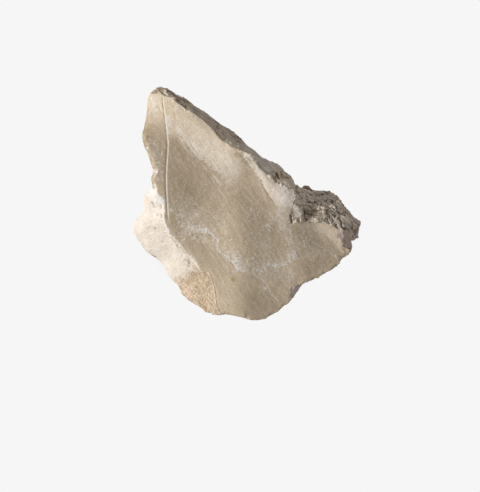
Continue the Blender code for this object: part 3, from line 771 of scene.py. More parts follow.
# in mm
stone = {
    "spacing": 0.815,  # on the back; the top has half of it, and the finest places a quarter
    "topSmoothing": 12,  # rounds of smoothing, before and after the mesh is cut finer
    "fineSmoothing": 6,
    "normalSmoothing": 4,
    "creviceSmoothing": 10,  # rounds that even out the surroundings that a crevice lies below
    "creviceDepth": 0.15,  # how deep it is when its painted shade is darkest
    "sheetGap": (0.5, 1.6),  # how far below the top surface the top side fades into the back
    "wallFade": (6.0, 20.0),  # heights between which the broken zones run out down the walls
    "wander": 0.22,  # how far the borders of the zones stray
    "zoneBlur": {"tan": 3.4, "violet": 1.2, "facet": 0.8},  # how softly these end
    "zoneEdge": 0.35,  # and how softly the other zones do
    "grooveDepth": 0.13,
    "grooveWalls": (0.75, 0.32),  # widths of its left and right sides
    "grooveTop": 0.4,  # its width at the top corner, as a share of the rest
    "grooveShade": (-0.26, 0.26),  # middle and half width of its dark line, across the cut
    "grooveLight": (0.15, 0.28),
    "chipSlope": (0.14, 0.21),  # how fast it rises from its left edge, low down and high up
    "chipReach": 3.5,
    "crackWidth": 0.26,
    "crackDepth": 0.06,
    "scratchDepth": 0.03,
    "depositHeight": 0.07,
    "pitDepth": 0.10,
    "weaveHeight": 0.10,
    "knobHeight": 28.0,  # over the floor, along the line y = -3
    "knobTilt": 0.4,  # how fast it rises with y
    "rimReach": 1.6,  # how wide a rim is sharpened
    "rimInwards": (-0.54, 0.84),  # the way back on to the face, in the plan
    "rimMost": 0.9,  # how far a rim may be raised
    "rimThickness": 2.4,  # where the stone is thinner than about this, its edge is ragged
    "rimPush": 0.36,  # how far it is pushed outwards there
}

# noises that roughen each part: height, size or (turn, length, width) of its fibres, seed, octaves
roughening = {
    "wanderX": (1, 1.3, 3.1, 3),
    "wanderY": (1, 1.3, 9.4, 3),
    "faceSwell": (0.07, 6.0, 21.0, 2),
    "faceRipple": (0.03, 1.5, 5.0, 2),
    "faceStreaks": (0.028, (-55, 6.0, 0.9), 4.0, 2),
    "depositGrain": (1, 0.6, 44.0, 2),
    "chipSwell": (0.05, 2.4, 61.0, 2),
    "chipStreaks": (0.025, (-62, 6.0, 0.9), 63.0, 2),
    "creamSwell": (0.15, 5.0, 31.0, 3),
    "creamLumps": (0.05, 1.6, 7.7, 3),
    "creamGrain": (0.03, 0.7, 17.0, 2),
    "creamCrust": (0.12, 0.8, 19.0, 3),
    "weaveFoldX": (0.35, 2.0, 71.0, 2),
    "weaveFoldY": (0.35, 2.0, 75.0, 2),
    "weaveDown": (1, (-52, 2.6, 0.42), 6.0, 3),
    "weaveUp": (0.8, (48, 2.2, 0.4), 8.0, 2),
    "upperLayers": (1, (-38, 7.0, 0.7), 13.0, 4),
    "upperLumps": (0.30, 3.0, 15.0, 3),
    "upperGrain": (0.14, 0.9, 16.0, 2),
    "rubbleLayers": (1, (-14, 3.0, 0.6), 2.0, 4),
    "rubbleSlant": (1, (-50, 2.6, 0.65), 4.0, 4),
    "rubbleGrain": (0.18, 0.7, 3.0, 3),
    "rubbleStray": (0.25, 0.5, 23.0, 2),
    "hollowChange": (0.7, 0.8, 29.0, 2),
    "backSwell": (0.45, 6.0, 51.0, 4),
    "backLumps": (0.12, 1.6, 53.0, 3),
    "rimChange": (0.16, 1.4, 57.0, 3),
}

# how fast the finer octaves of these noises fade, and how much finer each one is
octaveFade, octaveStep = 0.9, 2.1

# noise is only worked out where the mask it is for is stronger than this
faintMask = 0.002


def turned(points, degrees, along, across):
    # the points in a frame drawn out along one direction of the plan
    c, s = math.cos(math.radians(degrees)), math.sin(math.radians(degrees))
    return np.stack([(points[:, 0] * c + points[:, 1] * s) / along,
                     (points[:, 1] * c - points[:, 0] * s) / across, points[:, 2] / along], 1)


def rough(points, name, where=None):
    # one of the roughening noises, about -height to height
    height, size, seed, octaves = roughening[name]
    places = turned(points, *size) if isinstance(size, tuple) else points / size
    out = np.zeros(len(points))
    chosen = np.ones(len(points), bool) if where is None else where > faintMask
    rows = (places[chosen] + seed).tolist()
    out[chosen] = [height * noise.fractal(row, octaveFade, octaveStep, octaves) for row in rows]
    return out


def lumps(points, size, seed, where):
    # rounded cells with sharp creases between them: 0 in a crease, up to 1 on a lump
    out = np.zeros(len(points))
    chosen = where > faintMask
    rows = (points[chosen] / size + seed).tolist()
    cells = [noise.voronoi(row)[0] for row in rows]
    out[chosen] = [min(1.0, 1.6 * (d[1] - d[0])) for d in cells]
    return out


def weldedCopy(node):
    mesh = node.data.copy()
    mesh.transform(Matrix.Scale(1 / mm, 4))
    bm = bmesh.new()
    bm.from_mesh(mesh)
    bmesh.ops.remove_doubles(bm, verts=bm.verts, dist=1e-3)
    bm.to_mesh(mesh)
    bm.free()
    return mesh


def evenMesh(coarse):
    carrier = bpy.data.objects.new("carrier", coarse)
    bpy.context.scene.collection.objects.link(carrier)
    remesh = carrier.modifiers.new("even", "REMESH")
    remesh.mode = "VOXEL"
    remesh.voxel_size = stone["spacing"]
    graph = bpy.context.evaluated_depsgraph_get()
    mesh = bpy.data.meshes.new_from_object(carrier.evaluated_get(graph))
    bpy.data.objects.remove(carrier)
    return mesh


def surfaceProbe(coarse):
    bm = bmesh.new()
    bm.from_mesh(coarse)
    tree = BVHTree.FromBMesh(bm)
    bm.free()
    farAbove, farBelow = 60, -20  # where the rays start, in mm over the floor

    def topAt(x, y):
        return tree.ray_cast(Vector((x, y, farAbove)), Vector((0, 0, -1)))[0]

    def depthBelow(points):
        # how far each point lies under the top surface
        deep = np.zeros(len(points))
        for i, (x, y, z) in enumerate(points.tolist()):
            hit = topAt(x, y)
            deep[i] = hit.z - z if hit else 0.0
        return deep

    def thickness(points):
        # how thick the stone is, straight down through each point
        thick = np.zeros(len(points))
        for i, (x, y, _) in enumerate(points.tolist()):
            over = topAt(x, y)
            under = tree.ray_cast(Vector((x, y, farBelow)), Vector((0, 0, 1)))[0]
            thick[i] = over.z - under.z if over and under else 0.0
        return thick

    return depthBelow, thickness


def pointsOf(mesh):
    at = np.empty(len(mesh.vertices) * 3, np.float32)
    mesh.vertices.foreach_get("co", at)
    return at.reshape(-1, 3).astype(float)


def edgesOf(mesh):
    ends = np.empty(len(mesh.edges) * 2, np.int32)
    mesh.edges.foreach_get("vertices", ends)
    return ends.reshape(-1, 2)


def setPoints(mesh, at):
    mesh.vertices.foreach_set("co", at.astype(np.float32).ravel())
    mesh.update()


def averaged(values, ends):
    # the mean of each vertex's neighbours
    count = len(values)
    degree = np.bincount(ends.ravel(), minlength=count)
    out = np.empty_like(values)
    for axis in range(values.shape[1]):
        column = values[:, axis]
        total = np.bincount(ends[:, 0], column[ends[:, 1]], count)
        out[:, axis] = (total + np.bincount(ends[:, 1], column[ends[:, 0]], count)) / degree
    return out


def softNormals(mesh, ends):
    normals = np.empty(len(mesh.vertices) * 3, np.float32)
    mesh.vertex_normals.foreach_get("vector", normals)
    normals = normals.reshape(-1, 3).astype(float)
    for _ in range(stone["normalSmoothing"]):
        normals = averaged(normals, ends)
    return normals / np.linalg.norm(normals, axis=1)[:, None]


def smooth(mesh, weight, rounds):
    at, ends = pointsOf(mesh), edgesOf(mesh)
    for _ in range(rounds):
        at += weight[:, None] * (averaged(at, ends) - at)
    setPoints(mesh, at)


def refine(mesh, wanted):
    # cut the faces whose middles are wanted into four, and leave no face with more than four sides
    bm = bmesh.new()
    bm.from_mesh(mesh)
    bm.faces.ensure_lookup_table()
    centres = np.array([f.calc_center_median() for f in bm.faces])
    facing = np.array([f.normal.z for f in bm.faces])
    chosen = np.flatnonzero(wanted(centres, facing))
    edges = {e for i in chosen for e in bm.faces[i].edges}
    bmesh.ops.subdivide_edges(bm, edges=list(edges), cuts=1, use_grid_fill=True)
    many = [f for f in bm.faces if len(f.verts) > 4]
    bmesh.ops.triangulate(bm, faces=many)
    bm.to_mesh(mesh)
    bm.free()


def sharpenRims(mesh, depthBelow):
    # carry the slope of the face on to the lower rims, where the solid is rounded
    at = pointsOf(mesh)
    xy, reach = at[:, :2], stone["rimReach"]
    gap = np.minimum(*(pathGap(xy, path) for path in rimPaths))
    inStep = insideGap(xy, zones["step"]) > 0
    near = np.flatnonzero((gap < reach) & (depthBelow(at) < 0.25) & ~inStep)
    closer, farther = 1, 1.75  # where the face's height is taken, in reaches from the rim
    heights = []
    for distance in (closer, farther):
        inner = np.zeros((len(near), 3))
        inner[:, :2] = xy[near] + distance * reach * np.array(stone["rimInwards"])
        heights.append(depthBelow(inner))
    wanted = heights[0] + (heights[0] - heights[1]) * closer / (farther - closer)
    share = 1 - ramp(gap[near], 0.7 * reach, reach)
    at[near, 2] += share * np.clip(wanted - at[near, 2], 0, stone["rimMost"])
    setPoints(mesh, at)


def buildMesh():
    coarse = weldedCopy(frame["nodes"][nodeName])
    depthBelow, thickness = surfaceProbe(coarse)
    mesh = evenMesh(coarse)
    print("even mesh", len(mesh.polygons), "faces")

    at = pointsOf(mesh)
    onFace = ramp(insideGap(at[:, :2], faceBorder), 0.2, 1.2) * (depthBelow(at) < 1)
    smooth(mesh, onFace, stone["topSmoothing"])
    sharpenRims(mesh, depthBelow)

    def wantedTop(centres, facing):
        out = np.zeros(len(centres), bool)
        up = np.flatnonzero(facing > 0.05)
        out[up] = depthBelow(centres[up]) < 1.2
        return out

    def wantedFine(centres, facing):
        # the broken parts, and a strip along every thin mark
        xy = centres[:, :2]
        wanted = insideGap(xy, zones["rubble"]) > -0.5
        wanted |= insideGap(xy, zones["upper"]) > -0.3
        wanted |= (insideGap(xy, zones["tan"]) > -0.5) & (insideGap(xy, faceBorder) < 0)
        strips = [(groovePath, 0.8), (crackPath, 0.7), (curlPath, 3.4), (chipOutline, 0.4)]
        strips += [(path, 0.6) for path, width, _ in marks["chalk"] + marks["brownStainAndShade"] if width < 0.45]
        strips += [(path, 0.4) for path, _, _ in scratches] + [(path, 0.6) for path, _, _ in pits]
        for path, reach in strips:
            wanted |= pathGap(xy, path) < reach
        return wanted & wantedTop(centres, facing)

    refine(mesh, wantedTop)
    refine(mesh, wantedFine)
    print("refined mesh", len(mesh.polygons), "faces")
    at = pointsOf(mesh)
    deep, thick = depthBelow(at), thickness(at)
    onFace = ramp(insideGap(at[:, :2], faceBorder), 0.1, 0.8) * (deep < 1)
    smooth(mesh, onFace, stone["fineSmoothing"])
    return mesh, deep, thick


def zoneMasks(at, top, wander):
    # borders wander a little, so no area ends in a straight line
    xy = at[:, :2] + stone["wander"] * wander
    masks = {"face": ramp(insideGap(xy, faceBorder), -0.15, 0.2) * top}
    broken = top * (1 - masks["face"])
    wall = 0.85 * (1 - top) * ramp(at[:, 2], *stone["wallFade"])
    for name, loop in zones.items():
        blur = stone["zoneBlur"].get(name, stone["zoneEdge"])
        gap = insideGap(xy, loop)
        masks[name] = broken * ramp(gap, -blur, blur) + wall * ramp(gap, -3, 2)
    masks["tan"] *= masks["cream"]
    masks["upper"] *= 1 - masks["curl"]
    masks["facet"] *= 1 - masks["curl"]
    masks["back"] = 1 - top
    masks["chip"] = ramp(insideGap(xy, chipOutline), -0.15, 0.15) * top
    return masks


def shapeFace(at, masks, wander):
    face, xy = masks["face"], at[:, :2]
    lift = rough(at, "faceSwell", face) + rough(at, "faceRipple", face) + rough(at, "faceStreaks", face)
    lift *= ramp(insideGap(xy, faceBorder), 0, 3.0)  # no step where the face ends
    deposit = strokeMost(xy + 0.5 * wander, marks["chalk"])
    lift += stone["depositHeight"] * deposit * (0.6 + rough(at, "depositGrain", face))
    masks["crack"] = bell(xy + 0.15 * wander, crackPath, stone["crackWidth"]) * face
    lift -= stone["crackDepth"] * masks["crack"]
    masks["scratch"] = strokeMost(xy, scratches) * face
    masks["scuff"] = strokePaint(xy + 0.8 * wander, scuffs) * face
    return (lift - stone["scratchDepth"] * masks["scratch"]) * face


def shapeGroove(at, masks, top, wander):
    # a cut with a long left side, in shade, and a steep right side that catches the light
    path = np.array(groovePath)
    side = at[:, 0] + 0.06 * wander[:, 0] - np.interp(at[:, 1], path[::-1, 1], path[::-1, 0])
    side /= np.interp(at[:, 1], (28, 36), (1, stone["grooveTop"]))
    start, end = path[-1, 1], path[0, 1]
    along = ramp(at[:, 1], start, start + 5) * (1 - ramp(at[:, 1], end - 0.4, end + 0.6)) * top
    wall = np.where(side < 0, *stone["grooveWalls"])
    for name, sharpness in (("grooveShade", 2), ("grooveLight", 4)):
        middle, halfWidth = stone[name]
        masks[name] = np.exp(-(((side - middle) / halfWidth) ** sharpness)) * along
    return -stone["grooveDepth"] * np.clip(1 - np.abs(side) / wall, 0, 1) * along


def shapeChip(at, masks):
    # a break that turns up out of the face from its left edge
    inside = np.maximum(0, insideGap(at[:, :2], chipOutline))
    rise = np.interp(at[:, 1], (2, 8), stone["chipSlope"]) * np.minimum(inside, stone["chipReach"])
    uneven = rough(at, "chipSwell", masks["chip"]) + rough(at, "chipStreaks", masks["chip"])
    return (rise + uneven) * masks["chip"]


def shapeCream(at, masks):
    cream, tan = masks["cream"], masks["tan"]
    awayFromFace = ramp(-insideGap(at[:, :2], faceBorder), 0, 2.0)
    push = rough(at, "creamSwell", cream) + rough(at, "creamLumps", cream)
    push = push * awayFromFace + rough(at, "creamGrain", cream)
    push += masks["crust"] * rough(at, "creamCrust", cream)
    folded = at + np.stack([rough(at, "weaveFoldX", tan), rough(at, "weaveFoldY", tan), 0 * tan], 1)
    weave = rough(folded, "weaveDown", tan) + rough(folded, "weaveUp", tan)
    masks["weave"] = np.clip(0.45 - 1.6 * weave, 0, 1) * tan
    woven = stone["weaveHeight"] * tan * weave * awayFromFace
    return cream * push + woven - stone["pitDepth"] * masks["pit"]


def shapeUpper(at, masks):
    upper, x = masks["upper"], at[:, 0]
    amount = np.interp(x, (-30, -21, -19, -13, -11, -3, 2, 5), (1, 1, 0.25, 0.25, 0.6, 0.6, 0.5, 0.22))
    layers = rough(at, "upperLayers", upper)
    push = 0.34 * layers + rough(at, "upperLumps", upper) + rough(at, "upperGrain", upper)
    masks["layer"] = np.clip(0.5 + 0.9 * layers, 0, 1) * upper
    masks["fibre"] = upper * np.interp(x, (-21, -19, -12, -10, -3, 0), (1, 0.5, 0.5, 0.9, 0.9, 0.6))
    return upper * amount * push * ramp(-insideGap(at[:, :2], faceBorder), -0.2, 0.9)


def shapeRubble(at, masks, wander):
    # layered on the left, clumpy in the middle, drawn out along a slant on the right
    rubble, xy, lines = masks["rubble"] * (1 - masks["knob"]), at[:, :2], rubbleLines
    folded = at + 0.35 * np.concatenate([wander, wander[:, :1]], 1)
    right = ramp(at[:, 0], 26, 31)
    middle = bell(xy, lines["middle"], 2.6)
    layers = (1 - right) * rough(folded, "rubbleLayers", rubble)
    layers += right * rough(folded, "rubbleSlant", rubble)
    clumpy = 1.7 * lumps(folded, 1.9, 1.5, rubble) - 0.8
    height = 1.8 * layers * (1 - 0.7 * middle) + clumpy * (0.2 + 0.8 * middle)
    height += rough(at, "rubbleGrain", rubble)

    strayed = xy + 0.35 * wander + rough(at, "rubbleStray", rubble)[:, None]
    raised = strokeMost(strayed, clumps)
    shadedHollow = strokeMost(strayed, cavities) * np.clip(0.9 + rough(at, "hollowChange", rubble), 0.3, 1.2)
    calm = (0.4 + 0.6 * ramp(at[:, 0], 19, 22)) * ramp(insideGap(xy, zones["rubble"]), 0, 1.2)
    calm *= 1 - 0.8 * bell(xy, lines["flat"], 1.3)
    low = np.maximum(bell(xy, lines["low"], 1.8), bell(xy, lines["lowLeft"], 1.0))
    # pale crumbs, and painted light on the raised parts of the rubble
    crumbAndCrestLight = 0.6 * raised + (0.3 + 0.5 * middle) * ramp(height, 0.0, 0.8) * calm
    crumbAndCrestLight = np.maximum(crumbAndCrestLight * (1 - 0.4 * low), 0.84 * bell(xy, lines["paler"], 2.6))
    # painted shade: the hollows and the low parts of the rubble are darkened in their colour
    masks["shadedHollow"] = np.clip(0.8 * shadedHollow + 0.4 * ramp(-height, 0.2, 0.9) * calm, 0, 1) * rubble
    masks["crumbAndCrestLight"] = np.clip(crumbAndCrestLight, 0, 1) * rubble
    masks["dull"] = low * rubble
    relief = 0.42 * calm * (1 - 0.6 * low) * height + 0.2 * raised + 0.25 * middle
    return rubble * (relief - (0.7 - 0.3 * right) * shadedHollow)


def shapeKnob(at, masks):
    # a smooth pale wedge left standing where the rubble starts to fall away
    plane = stone["knobHeight"] + stone["knobTilt"] * (at[:, 1] + 3)
    return masks["knob"] * np.clip(plane - at[:, 2], 0, 2.4) * ramp(at[:, 0], 16.2, 17.2)


def shapeSlopes(at, masks):
    # ease the falls of the broken parts towards the rim, each by its own share
    x, y = at[:, 0], at[:, 1]
    outwards = np.clip(0.6 * x + 0.8 * y - 13.4, 0, 4)
    stations, shares = (-30, -24, -20, -18, -12, -6, 2, 14), (0.34, 0.42, 0.36, 0.08, 0.02, 0.13, 0.25, 0.27)
    upper = np.interp(x, stations, shares) * outwards * np.clip(masks["upper"] + masks["facet"], 0, 1)
    curl = 0.27 * np.clip(x - 10.6, 0, 5.5) + 0.75 * np.clip(x - 14.7, 0, 2.2) * (1 - ramp(y, 7.6, 9.2))
    curl *= masks["curl"] * ramp(y, 4.9, 6.8)
    rubble = 0.24 * np.clip(x - 23, 0, 10) * ramp(y, -4.5, -1) + 0.16 * np.clip(x - 35, 0, 5)
    rubble *= masks["rubble"]
    step = (0.24 * np.clip(x - 16.4, 0, 3.5) - 0.25 * ramp(x, 15.2, 15.9)) * masks["step"]
    violet = 0.12 * np.clip(x - 35, 0, 3) * masks["violet"]
    return upper + curl + rubble + step + violet


def paintMasks(at, masks, top, wander):
    xy, looseMarks = at[:, :2], ("chalk", "crust", "haze", "sand", "rose")
    masks["pit"] = strokeMost(xy + 0.4 * wander, pits) * masks["cream"] * top
    for name, strokes in marks.items():
        stray = 0.6 if name in looseMarks else 0.3
        masks[name] = strokePaint(xy + stray * wander, strokes) * top
    masks["haze"] = np.maximum(masks["haze"], 0.34 * masks["face"])
    masks["speck"] = 0.72 * masks["haze"]
    masks["deposit"] = 0.91 * masks["chalk"]
    # the tone of the face, partly painted light and shade
    masks["tone"] = strokeSum(xy, toneAndPaintedLight)


def creviceShadeMask(relief, masks, ends):
    # how far each point lies below its wider surroundings (+) or above them (-); below them it gets painted
    # shade
    broad = relief[:, None]
    for _ in range(stone["creviceSmoothing"]):
        broad = averaged(broad, ends)
    broken = sum(masks[name] for name in ("rubble", "upper", "curl", "violet", "back"))
    broken = np.clip(broken * (1 - masks["knob"]), 0, 1)
    return np.clip((broad[:, 0] - relief) / stone["creviceDepth"], -1, 1) * broken


def shapeStone(mesh, deep, thick):
    at, ends = pointsOf(mesh), edgesOf(mesh)
    normals = softNormals(mesh, ends)
    top = 1 - ramp(deep, *stone["sheetGap"])
    rim = np.exp(-((thick / stone["rimThickness"]) ** 2))
    wander = np.stack([rough(at, "wanderX"), rough(at, "wanderY")], 1)
    xy = at[:, :2]

    masks = zoneMasks(at, top, wander)
    paintMasks(at, masks, top, wander)
    lift = shapeFace(at, masks, wander) + shapeGroove(at, masks, top, wander) + shapeChip(at, masks)
    lift += shapeRubble(at, masks, wander) + shapeKnob(at, masks) + shapeSlopes(at, masks)
    lift += strokeSum(xy + 0.1 * wander, cornerStrokes) * top
    rest = masks["back"] + masks["violet"] + masks["step"]
    push = shapeCream(at, masks) + shapeUpper(at, masks)
    push += rest * (rough(at, "backSwell", rest) + rough(at, "backLumps", rest))
    push *= 1 - 0.6 * rim
    # painted shade: the crevices of the broken parts are darkened in their colour
    masks["creviceShade"] = creviceShadeMask(push + lift, masks, ends)
    coarse = np.clip(sum(surface[-1] * masks[name] for name, surface in surfaces.items()), 0, 1)
    masks["coarse"] = coarse * (1 - 0.7 * np.clip(masks["knob"] + masks["facet"], 0, 1))

    # the push goes along the normals, but leaves the rest spot alone; the lift goes straight up
    spot = ramp(insideGap(xy, restSpot), -4.0, -0.3) * (at[:, 2] < 8)
    moved = at + (push * (1 - spot))[:, None] * normals
    outward = normals[:, :2] / np.maximum(0.2, np.linalg.norm(normals[:, :2], axis=1))[:, None]
    moved[:, :2] += ((stone["rimPush"] + rough(at, "rimChange", rim)) * rim)[:, None] * outward
    for place, reach, shove in nudges:
        near = np.exp(-((np.linalg.norm(xy - place, axis=1) / reach) ** 2))
        moved[:, :2] += near[:, None] * shove
    moved[:, 2] += lift
    moved[at[:, 2] < 0.05, 2] = 0.0
    low, high = np.array(cadBox[0]) / mm, np.array(cadBox[1]) / mm
    setPoints(mesh, np.clip(moved, low, high))
    return masks


def storeMasks(mesh, masks):
    for name, values in masks.items():
        layer = mesh.attributes.new(name, "FLOAT", "POINT")
        layer.data.foreach_set("value", values.astype(np.float32))


# kinds of surface, from the lowest: two linear colours, the size of their patches in metres, and how
# coarse the surface is
surfaces = {
    "face": ((0.765, 0.62, 0.45), (0.695, 0.555, 0.396), 0.006, 0.22),
    "back": ((0.74, 0.63, 0.50), (0.56, 0.46, 0.36), 0.008, 0.9),
    "chip": ((0.95, 0.83, 0.695), (0.85, 0.72, 0.585), 0.004, 0.3),
    "cream": ((0.965, 0.87, 0.762), (0.902, 0.782, 0.656), 0.003, 0.5),
    "tan": ((0.81, 0.65, 0.475), (0.755, 0.59, 0.415), 0.0022, 0.7),
    "upper": ((0.82, 0.69, 0.565), (0.62, 0.50, 0.395), 0.004, 0.7),
    "facet": ((0.97, 0.86, 0.75), (0.87, 0.76, 0.65), 0.003, 0),
    "curl": ((0.96, 0.825, 0.67), (0.82, 0.67, 0.52), 0.002, 0.7),
    "rubble": ((0.97, 0.84, 0.70), (0.82, 0.68, 0.54), 0.003, 1.0),
    "knob": ((0.76, 0.675, 0.58), (0.69, 0.60, 0.51), 0.003, 0),
    "violet": ((0.79, 0.65, 0.57), (0.66, 0.53, 0.455), 0.003, 0.7),
    "step": ((0.86, 0.71, 0.64), (0.72, 0.58, 0.51), 0.004, 0.5),
}

tints = {
    "faceDark": (0.605, 0.475, 0.33),
    "faceLight": (0.85, 0.722, 0.57),
    "chalk": (0.97, 0.905, 0.835),
    "haze": (0.95, 0.875, 0.78),
    "paleAndHighlight": (0.92, 0.84, 0.78),
    "crumbAndCrestLight": (0.84, 0.775, 0.68),
    "dull": (0.60, 0.53, 0.45),
    "edge": (0.98, 0.88, 0.755),
    "warm": (0.97, 0.775, 0.575),
    "sand": (0.88, 0.76, 0.59),
    "rose": (0.95, 0.78, 0.70),
    "brownStainAndShade": (0.36, 0.25, 0.155),
    "weave": (0.52, 0.38, 0.245),
    "pit": (0.52, 0.37, 0.22),
    "layer": (0.42, 0.34, 0.265),
    "ochre": (0.43, 0.335, 0.22),
    "rust": (0.50, 0.35, 0.13),
    "olive": (0.56, 0.46, 0.315),
    # the colour of painted shade, laid in crevices and in the hollows of the rubble
    "paintedShade": (0.15, 0.10, 0.065),
}

# patterns that lay a tint down in broken patches, and patterns that only make a colour lighter and
# darker: the direction and the stretch of their streaks
fleckPatterns = {"flecks": None, "veil": (-55, 3), "thin": (-52, 10)}
grainPatterns = {"grain": None, "faceStreaks": (-55, 6), "layerStreaks": (-38, 7), "rubbleStreaks": (-30, 4)}

# what is laid on the smooth face, and then on the whole stone, from the lowest:
#   "even", tint, mask, where on the mask it starts and is full, how much it covers at most
#   fleck pattern, tint, mask, size in metres, softness, how much it covers at most
#   grain pattern, mask or None, size in metres, strength
faceCoats = (
    # lighter and darker face colours, partly painted light and shade
    ("even", "faceLight", "tone", 0, 1, 1),
    ("even", "faceDark", "tone", 0, -1, 1),
    ("flecks", "olive", "olive", 0.002, 0.5, 1),
    ("faceStreaks", None, 0.0009, 0.14),
)
coats = (
    ("even", "weave", "weave", 0.2, 0.85, 0.7),
    ("even", "layer", "layer", 0.55, 1, 0.5),
    ("layerStreaks", "fibre", 0.0006, 0.9),
    ("rubbleStreaks", "rubble", 0.0010, 0.7),
    ("grain", None, 0.0005, 0.20),
    ("flecks", "ochre", "ochre", 0.0018, 0.6, 1),
    ("flecks", "sand", "sand", 0.0016, 0.6, 0.8),
    ("flecks", "rose", "rose", 0.0016, 0.6, 0.8),
    ("faceStreaks", "chip", 0.0012, 0.12),
    # pale crumbs, with painted light on the raised parts of the rubble
    ("flecks", "crumbAndCrestLight", "crumbAndCrestLight", 0.0010, 0.5, 0.8),
    ("even", "dull", "dull", 0, 1, 0.65),
    # lilac white, partly painted highlights along edges
    ("flecks", "paleAndHighlight", "paleAndHighlight", 0.0012, 0.4, 0.9),
    ("veil", "haze", "haze", 0.0009, 0.4, 0.2),
    ("flecks", "haze", "speck", 0.0010, 0.2, 0.5),
    ("thin", "edge", "scuff", 0.0006, 0.25, 0.85),
    ("flecks", "chalk", "deposit", 0.0009, 0.2, 1),
    ("flecks", "chalk", "crust", 0.0012, 0.5, 1),
    ("even", "chalk", "crack", 0.3, 1, 0.75),
    ("even", "edge", "scratch", 0, 1, 0.8),
    ("flecks", "warm", "warm", 0.0014, 0.5, 0.85),
    ("flecks", "edge", "edge", 0.0014, 0.5, 0.95),
    ("even", "edge", "grooveLight", 0, 1, 0.95),
    ("flecks", "ochre", "grooveShade", 0.0012, 0.5, 0.35),
    # brown stain, partly painted shade in holes, flutes and a small cliff
    ("flecks", "brownStainAndShade", "brownStainAndShade", 0.0010, 0.4, 0.75),
    ("even", "pit", "pit", 0.1, 0.8, 0.75),
    ("even", "rust", "rust", 0.1, 1, 0.75),
    # painted shade in the crevices, and in the hollows and low parts of the rubble
    ("even", "paintedShade", "creviceShade", 0.25, 1, 0.35),
    ("even", "paintedShade", "shadedHollow", 0.05, 0.95, 0.75),
)

finish = {
    "roughness": (0.62, 0.9),  # on the smoothest and on the coarsest surface
    "specular": 0.3,
    "gritSize": 0.0011,
    "gritDepth": 0.0005,
    "depositBump": 0.06,
}


def newGroup(name, takes, gives):
    tree = bpy.data.node_groups.new(name, "ShaderNodeTree")
    for label, value in takes.items():
        kind = "NodeSocketColor" if isinstance(value, tuple) else "NodeSocketFloat"
        tree.interface.new_socket(label, in_out="INPUT", socket_type=kind).default_value = value
    for label, kind in gives.items():
        tree.interface.new_socket(label, in_out="OUTPUT", socket_type=kind)
    return tree, tree.nodes.new("NodeGroupInput"), tree.nodes.new("NodeGroupOutput")


def arithmetic(tree, operation, first, second):
    node = tree.nodes.new("ShaderNodeMath")
    node.operation = operation
    for socket, value in zip(node.inputs, (first, second)):
        if isinstance(value, (int, float)):
            socket.default_value = value
        else:
            tree.links.new(value, socket)
    return node.outputs[0]


def spread(tree, value, low, high, start=0.0, end=1.0):
    node = tree.nodes.new("ShaderNodeMapRange")
    for label, number in (("From Min", low), ("From Max", high), ("To Min", start), ("To Max", end)):
        node.inputs[label].default_value = number
    tree.links.new(value, node.inputs["Value"])
    return node.outputs["Result"]


def sizedNoise(tree, size, detail, roughness, streak=None):
    # a noise whose features have the size that comes in, in metres; a streak is a direction in the
    # plan, in degrees, and how many times longer they are that way
    place = tree.nodes.new("ShaderNodeTexCoord").outputs["Object"]
    if streak:
        turn = tree.nodes.new("ShaderNodeMapping")
        turn.vector_type = "TEXTURE"
        turn.inputs["Rotation"].default_value = (0, 0, math.radians(streak[0]))
        turn.inputs["Scale"].default_value = (streak[1], 1, 1)
        tree.links.new(place, turn.inputs["Vector"])
        place = turn.outputs["Vector"]
    grain = tree.nodes.new("ShaderNodeTexNoise")
    grain.inputs["Detail"].default_value = detail
    grain.inputs["Roughness"].default_value = roughness
    tree.links.new(place, grain.inputs["Vector"])
    tree.links.new(arithmetic(tree, "DIVIDE", 1, size), grain.inputs["Scale"])
    return grain.outputs[0]


def mixColours(tree, below, above, amount, blend="MIX"):
    node = tree.nodes.new("ShaderNodeMix")
    node.data_type = "RGBA"
    node.blend_type = blend
    if isinstance(amount, (int, float)):
        node.inputs[0].default_value = amount
    else:
        tree.links.new(amount, node.inputs[0])
    tree.links.new(below, node.inputs[6])
    if isinstance(above, tuple):
        node.inputs[7].default_value = (*above, 1)
    else:
        tree.links.new(above, node.inputs[7])
    return node.outputs[2]


def mottleGroup():
    # two colours of one surface, mixed by a noise
    takes = {"Colour A": (1, 1, 1, 1), "Colour B": (0, 0, 0, 1), "Size": 0.004}
    tree, start, end = newGroup("mottle", takes, {"Colour": "NodeSocketColor"})
    patches = spread(tree, sizedNoise(tree, start.outputs["Size"], 7, 0.65), 0.34, 0.66)
    mixed = mixColours(tree, start.outputs["Colour A"], start.outputs["Colour B"], patches)
    tree.links.new(mixed, end.inputs["Colour"])
    return tree


def grainGroup(name, streak=None):
    # makes a colour a little lighter and darker from grain to grain, or from streak to streak
    takes = {"Colour": (1, 1, 1, 1), "Size": 0.001, "Strength": 0.1}
    tree, start, end = newGroup(name, takes, {"Colour": "NodeSocketColor"})
    swing = spread(tree, sizedNoise(tree, start.outputs["Size"], 3, 0.6, streak), 0.25, 0.75, -1, 1)
    factor = arithmetic(tree, "ADD", arithmetic(tree, "MULTIPLY", swing, start.outputs["Strength"]), 1)
    tree.links.new(mixColours(tree, start.outputs["Colour"], factor, 1.0, "MULTIPLY"), end.inputs["Colour"])
    return tree


def fleckGroup(name, streak=None):
    # broken-up patches that fill more of the surface where the mask is stronger
    takes = {"Mask": 0.0, "Size": 0.001, "Softness": 0.08}
    tree, start, end = newGroup(name, takes, {"Amount": "NodeSocketFloat"})
    patches = spread(tree, sizedNoise(tree, start.outputs["Size"], 2, 0.6, streak), 0.24, 0.76)
    over = arithmetic(tree, "SUBTRACT", arithmetic(tree, "ADD", patches, start.outputs["Mask"]), 1)
    amount = arithmetic(tree, "DIVIDE", over, start.outputs["Softness"])
    tree.links.new(spread(tree, amount, 0, 1), end.inputs["Amount"])
    return tree


